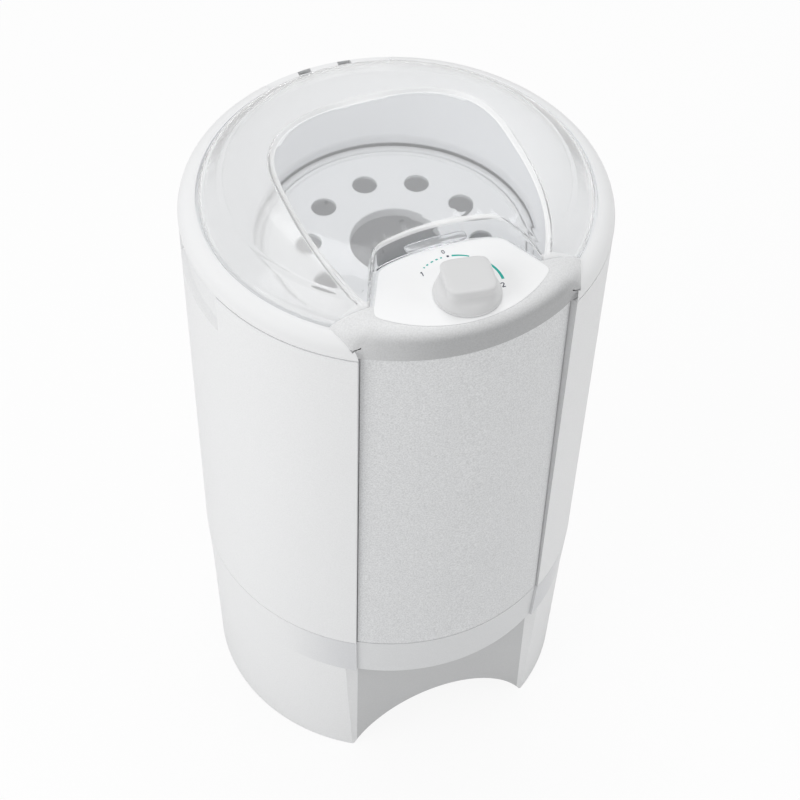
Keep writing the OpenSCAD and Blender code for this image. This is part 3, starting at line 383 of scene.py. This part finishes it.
def add_piece(name, grid, body, replaced, material, caps=False, sharp=32):
    """A piece over an (m, n, 3) grid of points in millimetres: row i joins row i + 1, the last
    column joins the first, and caps close the first and last rows."""
    m, n = grid.shape[:2]
    left = np.arange(m * n).reshape(m, n)
    right = np.roll(left, -1, 1)
    faces = np.stack([left[:-1], right[:-1], right[1:], left[1:]], -1).reshape(-1, 4).tolist()
    if caps:
        faces += [left[0, ::-1].tolist(), left[-1].tolist()]
    mesh = bpy.data.meshes.new(name)
    mesh.from_pydata((grid.reshape(-1, 3) / 1000).tolist(), [], faces)
    work = bmesh.new()
    work.from_mesh(mesh)
    bmesh.ops.remove_doubles(work, verts=work.verts, dist=2e-6)
    bmesh.ops.dissolve_degenerate(work, dist=1e-6, edges=work.edges)
    bmesh.ops.recalc_face_normals(work, faces=work.faces)
    work.to_mesh(mesh)
    work.free()
    mesh.shade_smooth()
    mesh.set_sharp_from_angle(angle=math.radians(sharp))
    mesh.materials.append(material)
    piece = bpy.data.objects.new(name, mesh)
    scene.collection.objects.link(piece)
    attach(piece, body)
    if replaced:
        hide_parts(*replaced)
    return piece


def arc(centre, radius, start, stop, count):
    """Points centre + radius (cos t, sin t), t in degrees from start to stop."""
    t = np.radians(np.linspace(start, stop, count))
    return np.stack([centre[0] + radius * np.cos(t), centre[1] + radius * np.sin(t)], -1)


def ray_to_circle(start, along, radius):
    """Distance from start along the unit vector to the circle round the axis."""
    b = start @ along
    return -b + np.sqrt(b * b - start @ start + radius * radius)


roll_r, roll_c = 16.5, np.array([178.7, 620.3])
profile = np.concatenate([
    [[192.6, ring_foot], [193.7, 619.0], [194.5, 619.45], [seam_r, 620.2]],
    arc(roll_c, roll_r, 4, 90, 28),
    [[channel_r, 634.0], [channel_r, ledge_z], [ledge_r, ledge_z], [ledge_r, hook_z],
     [181.7, hook_z], [189.0, ring_foot]]])
# each point of the profile runs round the back from one crease to the other
crease_from = np.array([113.8, -136.35])
crease_run = np.array([-27.2, -63.15])
crease_along = crease_run / np.hypot(*crease_run)
reach = np.maximum(profile[:, 0], np.hypot(*crease_from) + 0.01)
on_crease = np.array([crease_from + ray_to_circle(crease_from, crease_along, r) * crease_along
                      for r in reach])
first = np.arctan2(on_crease[:, 0], -on_crease[:, 1])
turn = np.linspace(0, 1, 361)[:, None]
az = first + turn * (2 * math.pi - 2 * first)
ring_grid = np.stack([profile[:, 0] * np.sin(az), -profile[:, 0] * np.cos(az),
                      np.broadcast_to(profile[:, 1], az.shape)], -1)
ring = add_piece("ring_roll", ring_grid, "casing", ["top_ring"], casing_white,
                 caps=True)


def cut_away(piece, outline, low, high):
    """Takes the prism over the plan outline, from low to high, out of the piece."""
    count = len(outline)
    loop = np.concatenate([np.column_stack([outline, np.full(count, z)]) for z in (low, high)])
    at = np.arange(count)
    walls = np.stack([at, np.roll(at, -1), np.roll(at, -1) + count, at + count], -1).tolist()
    mesh = bpy.data.meshes.new("cutter")
    mesh.from_pydata((loop / 1000).tolist(), [],
                     walls + [at[::-1].tolist(), (at + count).tolist()])
    cutter = bpy.data.objects.new("cutter", mesh)
    scene.collection.objects.link(cutter)
    step = piece.modifiers.new("cut", "BOOLEAN")
    step.object = cutter
    step.operation = "DIFFERENCE"
    with bpy.context.temp_override(object=piece, active_object=piece,
                                   selected_objects=[piece]):
        bpy.ops.object.modifier_apply(modifier=step.name)
    bpy.data.objects.remove(cutter)


hinge_y, hinge_z, hinge_x, hinge_w = 183.5, 627.0, 20.0, 12.0
half_pocket, pocket_back, pocket_floor = (hinge_w + 1) / 2, 189.7, 622.5
swing_half, swing_floor = 62, 632.5
far_back, far_up = 260, 700


def behind_channel(x0, x1, y1):
    """Plan outline from the channel's wall back to y1, between x0 and x1."""
    x = np.linspace(x0, x1, 17)
    return np.concatenate([np.stack([x, np.sqrt(channel_r ** 2 - x * x) - 0.01], -1),
                           [[x1, y1], [x0, y1]]])


for s in (-1, 1):
    site = s * hinge_x
    cut_away(ring, behind_channel(site - half_pocket, site + half_pocket, pocket_back),
             pocket_floor, far_up)
# the flat behind the lid that its rim swings over
cut_away(ring, behind_channel(-swing_half, swing_half, far_back), swing_floor, far_up)
ring.data.set_sharp_from_angle(angle=math.radians(32))

# ---------------------------------------------------------------- console
# Hood over the timer, moulded with a soft roll in front and laid back between the two
# creases. Its well reaches down through the front of the funnel and holds the timer.

label_front, label_back, label_top, label_bed = 183.5, 92.0, 650.0, 649.4
front_r, back_r, side_at, side_slant = 113, 185, 6.85, math.radians(26)
label_o = np.array([0.0, -(label_front + label_back) / 2])
# the angles of every outline about label_o, closer together at the corners of the foot
look = np.unique(np.concatenate([np.linspace(0, 2 * math.pi, 289)[1:-1], np.radians(
    [0.03, 0.3, 179.7, 179.97, 180.24, 180.6, 359.4, 359.76])]))


def label_reach(grow, side, angles):
    """Distance from label_o to the label's outline at each angle: the soft minimum (power 30)
    of the reach to the front circle, the back circle and the two side lines."""
    d = np.stack([np.cos(angles), np.sin(angles)], -1)

    def circle(centre, radius):
        m = label_o - centre
        b = d @ m
        return -b + np.sqrt(b * b - m @ m + radius * radius)

    def line(normal):
        s = d @ normal
        gap = side_at + side - normal @ label_o
        return np.where(s > 0.02, gap / np.where(s > 0.02, s, 1), 50 * gap)

    c, t = math.cos(side_slant), math.sin(side_slant)
    bounds = np.stack([circle(np.array([0, front_r - label_front]), front_r + grow),
                       circle(np.array([0, -label_back - back_r]), back_r + grow),
                       line(np.array([c, t])), line(np.array([-c, t]))])
    return ((bounds / 100) ** -30.0).sum(0) ** (-1 / 30) * 100


def star_reach(corners, angles):
    """Distance from label_o to a closed outline of straight sides at each angle."""
    closed = np.concatenate([corners, corners[:1]])
    t = np.linspace(0, len(corners), 4000, endpoint=False)
    k = t.astype(int)
    dense = closed[k] + (t - k)[:, None] * (closed[k + 1] - closed[k]) - label_o
    around = np.mod(np.arctan2(dense[:, 1], dense[:, 0]), 2 * math.pi)
    order = np.argsort(around)
    return np.interp(angles, around[order], np.hypot(*dense.T)[order], period=2 * math.pi)


def az_points(radius, low, high, count):
    """Points at a radius between two azimuths in degrees, measured from the front."""
    a = np.radians(np.linspace(low, high, count))
    return np.stack([radius * np.sin(a), -radius * np.cos(a)], -1)


def loft(levels):
    """Stacks outlines about label_o: each level is a height and a reach for every angle."""
    return np.stack([np.column_stack([label_o[0] + r * np.cos(look),
                                      label_o[1] + r * np.sin(look), z + 0 * look])
                     for z, r in levels])


def smooth(t):
    """Smooth step of t, which is held between 0 and 1."""
    t = np.clip(t, 0, 1)
    return t * t * (3 - 2 * t)


front_z, roll_back_z, middle = 634.5, 641.5, 0 * look
# the foot in plan: its corners at the two ends of each crease, the arc in front, and the back
top_x, top_y, corner_r, corner_az, arc_r, arc_az = 115.5, -138.25, 193.8, 32.6, 190, 31.2
foot = star_reach(np.concatenate([
    [[-top_x, top_y]], az_points(corner_r, -corner_az, -corner_az, 1),
    az_points(arc_r, -arc_az, arc_az, 30), az_points(corner_r, corner_az, corner_az, 1),
    [[top_x, top_y], [60, -94], [-60, -94]]]), look)
brow = label_reach(5.4, 4.2, look)
foot = np.maximum(foot, brow)
front = np.where(np.sin(look) < -0.003, foot, brow)
# the rim of the hood lies at front_z in the middle, and from 22 to 31 degrees it climbs to just
# under the ring's roll
rim_at = label_o + front[:, None] * np.stack([np.cos(look), np.sin(look)], -1)
rim_az = np.degrees(np.abs(np.arctan2(rim_at[:, 0], -rim_at[:, 1])))
rolled = roll_c[1] + np.sqrt(roll_r ** 2 - np.clip(np.hypot(*rim_at.T) - roll_c[0], 0, 16) ** 2)
rim_z = front_z + (rolled - 0.4 - front_z) * smooth((rim_az - 22) / 9)
inner = label_reach(0.2, 0.4, look)
hood = [(label_bed, middle), (label_bed, inner - 12), (label_bed, inner)]
# the shoulder falls from the label's edge as z = rim + (top - rim) (1 - u^1.8)^(1/1.8), with u
# the share of the way out; behind the middle it is the short roll under the lid's lip
for turn_in in np.linspace(0.04, 1, 22):
    u = math.sin(turn_in * math.pi / 2) ** 1.2
    fall = 1 - (1 - u ** 1.8) ** (1 / 1.8)
    hood.append((label_bed - (label_bed - np.where(front > brow, rim_z, roll_back_z)) * fall,
                 inner + (front - inner) * u))
hood += [(ledge_z - 0.3, front), (ledge_z - 0.4, foot), (ring_foot, foot), (ring_foot, middle)]


def console_shade(name):
    """The console's finish: white round the label, and a painted shade down its front, grey over
    the grain. The shade comes in over 11 mm of height and 28 mm of depth, and is weaker at the
    left end."""
    made, tree, colour, at = placed_skin(name, 0.4, 0.0014, 0.4, 0.15, 0.02)
    share = 1.0
    for axis, start, to in (("Z", (0.6485, 0.638), (0.0, 1.0)),
                            ("X", (-0.105, -0.02), (0.45, 1.0)),
                            ("Y", (-0.144, -0.172), (0.0, 1.0))):
        share = maths(tree, "MULTIPLY", share, map_range(tree, at[axis], to, start, "SMOOTHSTEP"))
    tree.links.new(mix_tones(tree, share, (0.76, 0.765, 0.77), (0.45, 0.455, 0.46)), colour)
    return made


# the grey down the hood's front is painted shade
add_piece("console_hood", loft(hood), "casing", ["top_ring"],
          console_shade("console_painted_shade"), sharp=40)

well_z, gasket_z = 621.8, 597.8
well_top = star_reach(np.concatenate([az_points(183, -30, 30, 24), [[72, -104], [-72, -104]]]),
                      look)
well_low = star_reach(np.concatenate([az_points(168, -26, 26, 24), [[62, -118], [-62, -118]]]),
                      look)
well = [(well_z, middle), (well_z, well_top), (610, (well_top + well_low) / 2),
        (gasket_z + 1.2, well_low), (gasket_z, well_low - 1.2), (gasket_z, middle)]
add_piece("timer_well", loft(well), "casing", ["top_ring"], casing_white)

# ---------------------------------------------------------------- funnel and neck
# White moulding hooked under the ledge: it throws drips back into the tub, and its skirt
# presses the seal on the tub's edge.


def lathe(points):
    """The profile (radius, height) carried once round the axis."""
    a = np.linspace(0, 2 * math.pi, 288, endpoint=False)
    r, z = np.asarray(points, float).T
    return np.stack([r[:, None] * np.sin(a), -r[:, None] * np.cos(a),
                     np.broadcast_to(z[:, None], (len(r), len(a)))], -1)


skirt_in, skirt_out, hook_r = 161.5, 167.5, 175.4
funnel_line = np.concatenate([
    [[ledge_r, 630.4]], arc((135.0, 583.0), 8, 135, 180, 8), [[127.0, 579.0]],
    arc((128.5, 579.2), 1.5, 180, 360, 8),
    [[130.0, 584.8], [skirt_in, 616.3], [skirt_in, gasket_z], [skirt_out, gasket_z],
     [skirt_out, 625.4], [hook_r, 625.5], [hook_r, hook_z], [ledge_r, hook_z],
     [ledge_r, 630.4]]])
# a white a little darker than the casing's: painted shade for the funnel and neck, which lie in
# shade under the lid
funnel_shaded_white = moulded("funnel_shaded_white", (0.76, 0.766, 0.775), 0.34, depth=0.05, speckle=0.006,
                       drift=0.01)
add_piece("funnel_skin", lathe(funnel_line), "casing", ["funnel"], funnel_shaded_white)

# ---------------------------------------------------------------- label
# Printed plate glued on the console: near-white, with a dashed and a solid arc and the plain
# numbers 0, 1 and 2, which say how far the knob is turned.

label_print = moulded("label_print", (0.92, 0.925, 0.93), 0.28, 0.002, 0.02, 0.004, 0.01)
plate = [(z, label_reach(grow, grow, look))
         for z, grow in ((label_bed, -0.3), (label_top - 0.25, 0), (label_top - 0.07, -0.15),
                         (label_top, -0.5), (label_top, -30))]
plate = [(label_bed, middle), *plate, (label_top, middle)]
add_piece("label_plate", loft(plate), "casing", ["control_label"], label_print)

ink_teal = moulded("ink_teal", (0.01, 0.42, 0.36), 0.4, 0.0006, 0.02, 0.05, 0.04)
ink_dark = moulded("ink_dark", (0.03, 0.035, 0.07), 0.4, 0.0006, 0.02, 0.05, 0.04)
scale_o, scale_r = np.array([0.5, -143.0]), 37.4
ink_over, ink_under = 0.06, 0.02


def ink(name, points, widths, material):
    """Flat stroke a little over the label: points moved half a width to both sides."""
    points = np.asarray(points, float)
    run = np.gradient(points, axis=0)
    run /= np.hypot(*run.T)[:, None]
    off = np.stack([-run[:, 1], run[:, 0]], -1) * np.asarray(widths, float)[:, None] / 2
    flat = np.stack([points + off, points - off], 1)
    high, low = (np.dstack([flat, np.full(flat.shape[:2], z)])
                 for z in (label_top + ink_over, label_top - ink_under))
    ring_of = np.concatenate([high, low[:, ::-1]], 1)
    add_piece(name, ring_of, "casing", None, material, caps=True)


def on_scale(start, stop, count):
    """Points on the label's scale between two angles in degrees, clockwise from the back."""
    a = np.radians(np.linspace(start, stop, count))
    return np.stack([scale_o[0] + scale_r * np.sin(a), scale_o[1] + scale_r * np.cos(a)], -1)


ink("arc_thin", on_scale(11, 34, 16), np.linspace(1.9, 1.3, 16), ink_teal)
ink("arc_thick", on_scale(40, 96, 36), np.linspace(1.6, 2.5, 36), ink_teal)
for i, (start, length) in enumerate(((-34, 2.2), (-28, 3.2), (-20, 3.8), (-12, 3.4), (-5, 2.6))):
    ink(f"arc_dash_{i}", on_scale(start, start + length, 4), np.full(4, 1.4), ink_teal)
ink("scale_mark", on_scale(4.2, 7.2, 4), np.full(4, 2.0), ink_dark)


def numeral(name, strokes, place, height):
    """A plain number from strokes on a grid one high, turned to stand up from the front."""
    for i, stroke in enumerate(strokes):
        line = np.asarray(stroke, float) * height + np.asarray(place)
        ink(f"{name}_{i}", line, np.full(len(line), height * 0.17), ink_dark)


two = np.concatenate([arc((0.3, 0.72), 0.25, 160, -35, 12), [[0.06, 0.06], [0.1, 0.02]]])
numeral("number_2", [two, [[0.04, 0.03], [0.6, 0.03]]], (33.2, -156.0), 5.2)
numeral("number_1", [[[0.1, 0.75], [0.32, 0.98]], [[0.32, 0.99], [0.32, 0.0]]],
        (-25.6, -120.5), 5.0)
whole_turn = np.linspace(0, 6.2, 24)
zero = np.stack([0.3 + 0.25 * np.cos(whole_turn), 0.5 + 0.45 * np.sin(whole_turn)], -1)
numeral("number_0", [zero], (1.2, -101.6), 4.2)

# ---------------------------------------------------------------- timer knob
# Moulded knob pushed on the timer's shaft: a round foot that sweeps up to a square grip with
# straight sides and softly rounded corners.

knob_grey = moulded("knob_grey", (0.7, 0.703, 0.707), 0.32, 0.001, 0.06, 0.01, 0.015)
dress(["timer_shaft"], knob_grey)
knob_x, knob_y, knob_z, knob_turned = 3.0, -151.5, 650.3, math.radians(-9)
knob_look = np.linspace(0, 2 * math.pi, 180, endpoint=False)


def squircle(half):
    """Reach of a rounded square of the given half depth, and 4% wider than it is deep:
    (|cos / 1.04|^5 + |sin|^5)^(-1/5)."""
    a = knob_look - knob_turned
    return half * (np.abs(np.cos(a) / 1.04) ** 5.0 + np.abs(np.sin(a)) ** 5.0) ** (-1 / 5.0)


def knob_level(z, round_r, half=0, square=0):
    """One outline of the knob: a mix of a circle and a rounded square."""
    r = (1 - square) * round_r + square * squircle(half)
    return np.column_stack([knob_x + r * np.cos(knob_look), knob_y + r * np.sin(knob_look),
                            np.full(len(knob_look), knob_z + z)])


# height, radius of the circle, half depth of the square and the square's share; in the grip,
# which is all square, height and half depth
knob_foot = ((0, 0), (0, 28.9), (0.2, 29.35), (1.3, 29.4), (1.55, 29.2), (1.7, 28.6),
             (2.0, 28.4), (4.0, 28.2))
knob_skirt = ((6.0, 27.9, 21.2, 0.08), (8.0, 27.5, 21.2, 0.2), (9.6, 27.0, 21.2, 0.36),
              (10.8, 26.2, 21.1, 0.56), (11.7, 25.2, 20.9, 0.78), (12.2, 24.4, 20.7, 0.92))
knob_grip = ((12.6, 20.5), (13.6, 20.3), (18.4, 20.7), (20.2, 20.9), (21.0, 20.5), (21.7, 19.6),
             (22.0, 18.4), (21.9, 13), (21.75, 6), (21.7, 0))
knob_grid = np.stack([knob_level(*row) for row in knob_foot + knob_skirt]
                     + [knob_level(z, 0, half_depth, 1) for z, half_depth in knob_grip])
add_piece("knob_skin", knob_grid, "knob", ["timer_knob"], knob_grey, sharp=50)

# ---------------------------------------------------------------- lid
# Clear moulded cover 2.5 mm thick, hinged at the back by two steel pins. A deep lip runs along
# its cut-out over the console, with a tab for a finger, and a window is sunk in its dome.


def clear_plastic(name, tint, rough, clear):
    """Clear plastic that bends what is seen, and lets the lamps' light pass as it is. What
    isn't clear in it is a white haze."""
    made, tree, main = new_material(name)
    main.inputs["Base Color"].default_value = (*tint, 1)
    main.inputs["Transmission Weight"].default_value = clear
    main.inputs["IOR"].default_value = 1.49
    where = tree.nodes.new("ShaderNodeTexCoord")
    haze = noise(tree, where.outputs["Object"], 60.0, 3.0)
    tree.links.new(map_range(tree, haze, (rough * 0.7, rough * 1.3)), main.inputs["Roughness"])
    through = tree.nodes.new("ShaderNodeBsdfTransparent")
    through.inputs["Color"].default_value = (0.96, 0.965, 0.97, 1)
    mix_shaders(tree, either_ray(tree, "Is Shadow Ray", "Is Diffuse Ray"), main, through)
    return made


lid_haze = clear_plastic("lid_haze", (1.0, 1.0, 1.0), 0.11, 0.8)
# a milky finish that paints light: highlights on the lid's edges, and lighter arms in shaded slots
lid_milky_painted_light = clear_plastic("lid_milky_painted_light", (1.0, 1.0, 1.0), 0.15, 0.5)
lid_clear = clear_plastic("lid_clear", (0.93, 0.935, 0.945), 0.04, 0.885)
lid_r, lid_t, lip_h, lip_round, lid_low = 176.0, 2.5, 22.0, 4.0, 630.8
crease_r, crease_z, crown_z, notch_gap = 153.7, 656.8, 670.8, 9.0
window_d, window_x, window_back, window_front, window_run = 3.5, 107.0, 90.0, 175, 5.5
lid_o = np.array([0.0, 70.0])
# height of the band past the crease, and by the distance from the rim
past_crease = ((0, crease_z), (3, 655.4))
to_rim = ((3.5, 642.5), (2, 641.6), (1, 640.8), (0.3, 639.8), (0, 638.8))


def lid_edge(shrink):
    """The lid's outline in plan: round the rim, in along y = label_o.y, and round the cut-out."""
    cut_y = label_o[1] + shrink
    rim = lid_r - shrink
    tip = math.degrees(math.acos(-cut_y / rim))
    outer = az_points(rim, tip, 360 - tip, 420)
    side = math.pi * 0.5 * np.linspace(-1, 1, 181) + math.pi / 2
    r = label_reach(notch_gap + shrink, notch_gap - 5 + shrink, side)
    back = np.column_stack([r * np.cos(side), label_o[1] + r * np.sin(side)])[::-1]
    back[:, 1] = np.maximum(back[:, 1], cut_y)
    t = np.linspace(0, 1, 24)[1:-1, None]
    into = outer[-1] + t * (back[0] - outer[-1])
    out = back[-1] + t * (outer[0] - back[-1])
    return np.concatenate([outer, into, back, out])


def reach_from_lid_o(outline, angles):
    """Distance from lid_o to a closed outline at each angle."""
    d = np.asarray(outline) - lid_o
    around = np.arctan2(d[:, 1], d[:, 0])
    order = np.argsort(around)
    return np.interp(angles, around[order], np.hypot(*d.T)[order], period=2 * math.pi)


def signed_power(values, power):
    """Powers of the sizes of the values, with their signs."""
    return np.sign(values) * np.abs(values) ** power


def window_edge(grow):
    """The window: a superellipse (power 2.7) whose front half runs on past the lid's edge."""
    a = np.linspace(0, 2 * math.pi, 1440, endpoint=False)
    px, py = signed_power(np.cos(a), 2 / 2.7), signed_power(np.sin(a), 2 / 2.7)
    return np.stack([px * (window_x + grow),
                     py * np.where(py > 0, window_back + grow, window_front + grow)], -1)


def lid_side(shrink, down):
    """One surface of the lid, from the middle out to its edge. Height: dome or band profile at
    the distance from the axis, less the sunk window, which rises over window_run as a smooth
    step, and less the round at the cut-out's edge."""
    edge = lid_edge(shrink)
    on_rim = np.abs(np.hypot(*edge.T) - (lid_r - shrink)) < 0.2
    d = edge - lid_o
    angle, end = np.arctan2(d[:, 1], d[:, 0]), np.hypot(*d.T)
    along = d / end[:, None]
    window = reach_from_lid_o(window_edge(shrink), angle)
    b = along @ lid_o

    def to_ring(radius):
        return -b + np.sqrt(b * b - lid_o @ lid_o + radius * radius)

    # reaches over the window's floor, its step, the dome, the crease, the band and the rim
    rim = lid_r - shrink
    rows = [window * 0]
    rows += [(window - 3.4) * t for t in np.linspace(0.08, 1, 16)]
    rows += [window + t for t in np.linspace(-3.0, 3.0, 13)]
    start = window + 3.3
    over_dome = np.maximum(to_ring(crease_r) - 1.0, start) - start
    rows += [start + over_dome * t for t in np.linspace(0.1, 1, 10)]
    rows += [to_ring(crease_r + t) for t in (-0.6, -0.2, 0.2, 0.6, 1.2, 2, 3)]
    rows += [to_ring(r) for r in np.linspace(crease_r + 5, rim - 3.5, 8)]
    rows += [to_ring(rim - t) for t in (2.8, 2.0, 1.3, 0.7, 0.25, 0)]
    # at the cut-out the rows stop short of the edge by the round's radius, and the last six by
    # shares of it
    round_r = lip_round - shrink
    left = np.full((len(rows), 1), round_r)
    left[-6:, 0] *= (1, 0.74, 0.5, 0.3, 0.13, 0.03)
    reach = np.minimum(np.maximum.accumulate(np.array(rows), 0),
                       np.where(on_rim, end, end - left))
    reach = np.concatenate([reach, end[None]])
    plan = lid_o + reach[..., None] * along
    r = np.hypot(plan[..., 0], plan[..., 1])
    dome = crease_z + (crown_z - crease_z) * (1 - (np.minimum(r, crease_r) / crease_r) ** 10)
    k = np.array([(crease_r + t, height) for t, height in past_crease]
                 + [(rim - t, height) for t, height in to_rim])
    z = np.where(r <= crease_r, dome, np.interp(r, k[:, 0], k[:, 1])) - down
    z = z - window_d * smooth((window - reach) / window_run + 0.5)
    into_round = np.where(on_rim, 0, np.clip(round_r - (end - reach), 0, round_r))
    z = z - (round_r - np.sqrt(round_r ** 2 - into_round ** 2))
    return plan, z, edge, on_rim


plan_out, z_out, edge_out, on_rim = lid_side(0, 0)
plan_in, z_in, edge_in, _ = lid_side(lid_t, lid_t)
# the foot of the hanging lip, by the distance from the middle plane
lip_x, lip_z = (52, 66, 79.3, 109.6), (641.5, 645.7, 645.7, 633.0)
lip_low = np.interp(np.abs(edge_out[:, 0]), lip_x, lip_z)
foot_z = np.where(on_rim, lid_low, np.maximum(z_out[-1] - lip_h, lip_low))
foot_in = np.minimum(foot_z, z_in[-1] - 0.3)


def edge_rows(edge, start, end, shares):
    """The lid's edge at shares of the way from one height to another."""
    return [np.column_stack([edge, start + (end - start) * t])[None] for t in shares]


# out over the lid, down its edge, up the inside of the edge, and back to the middle
rows = [np.dstack([plan_out, z_out])]
rows += edge_rows(edge_out, z_out[-1], foot_z, (0.06, 0.2, 0.5, 0.8, 0.95, 1.0))
rows += edge_rows(edge_in, foot_in, z_in[-1], (0.0, 0.1, 0.5, 0.9))
rows += [np.dstack([plan_in, z_in])[::-1]]
lid_shell = add_piece("lid_shell", np.concatenate(rows), "lid", ["lid"], lid_haze,
                      sharp=38)
# the band is frosted, the window's floor and the hanging lip are polished, and the window's step
# and the round of the cut-out's edge get the milky finish, a painted highlight where they catch
# the light
for finish in (lid_clear, lid_milky_painted_light):
    lid_shell.data.materials.append(finish)
haze_slot, clear_slot, highlight_slot = range(3)
half_step, edge_band, rim_band, wall_tilt = 2.6, lip_round + 0.2, 5, 0.15
faces = lid_shell.data.polygons
middles = np.array([face.center[:2] for face in faces]) * 1000
upright = np.array([abs(face.normal[2]) < wall_tilt for face in faces])
ways = np.arctan2(middles[:, 1] - lid_o[1], middles[:, 0])
out = np.hypot(*(middles - lid_o).T)
inside = reach_from_lid_o(window_edge(0), ways) - out
at_edge = ((reach_from_lid_o(lid_edge(0), ways) - out < edge_band) & ~upright
           & (np.hypot(*middles.T) < lid_r - rim_band))
finish_of = np.where(at_edge | (np.abs(inside) < half_step), highlight_slot,
                     np.where(inside > 0, clear_slot, haze_slot))
faces.foreach_set("material_index", finish_of.astype(np.int32))

tab_o, tab_low, tab_top = np.array([0, -88.4]), 651.4, 653.5
tab_half_x, tab_half_y = 28, 5.8
tab_a = np.linspace(0, 2 * math.pi, 96, endpoint=False)
tab_out = np.stack([tab_half_x * signed_power(np.cos(tab_a), 0.35),
                    tab_half_y * signed_power(np.sin(tab_a), 0.45)], -1)
tab_levels = ((0, tab_low), (0.97, tab_low), (1, tab_low + 0.3), (1, tab_top - 0.3),
              (0.97, tab_top), (0, tab_top))
add_piece("lid_tab", np.stack([np.column_stack([tab_o + tab_out * k, np.full(len(tab_a), z)])
                               for k, z in tab_levels]),
          "lid", ["lid"], lid_clear)

arm = np.concatenate([
    [[172.6, 631.1], [175.0, 630.9], [178.2, 630.9], [181.6, 623.6]],
    arc((hinge_y, hinge_z), 4, -110, 90, 22), [[174.4, 632.2], [172.6, 632.4]]])
mid = arm.mean(0)
# places across the arm, in widths, and the size of its outline there
arm_levels = ((-0.5, 0.94), (-0.46, 1), (0.46, 1), (0.5, 0.94))
# the arms take the milky finish, which paints them lighter in their shaded slots
for s, side in ((-1, "left"), (1, "right")):
    add_piece(f"hinge_arm_{side}",
              np.stack([np.column_stack([np.full(len(arm), s * hinge_x + x * hinge_w),
                                         mid + (arm - mid) * k]) for x, k in arm_levels]),
              "lid", ["lid"], lid_milky_painted_light, caps=True)
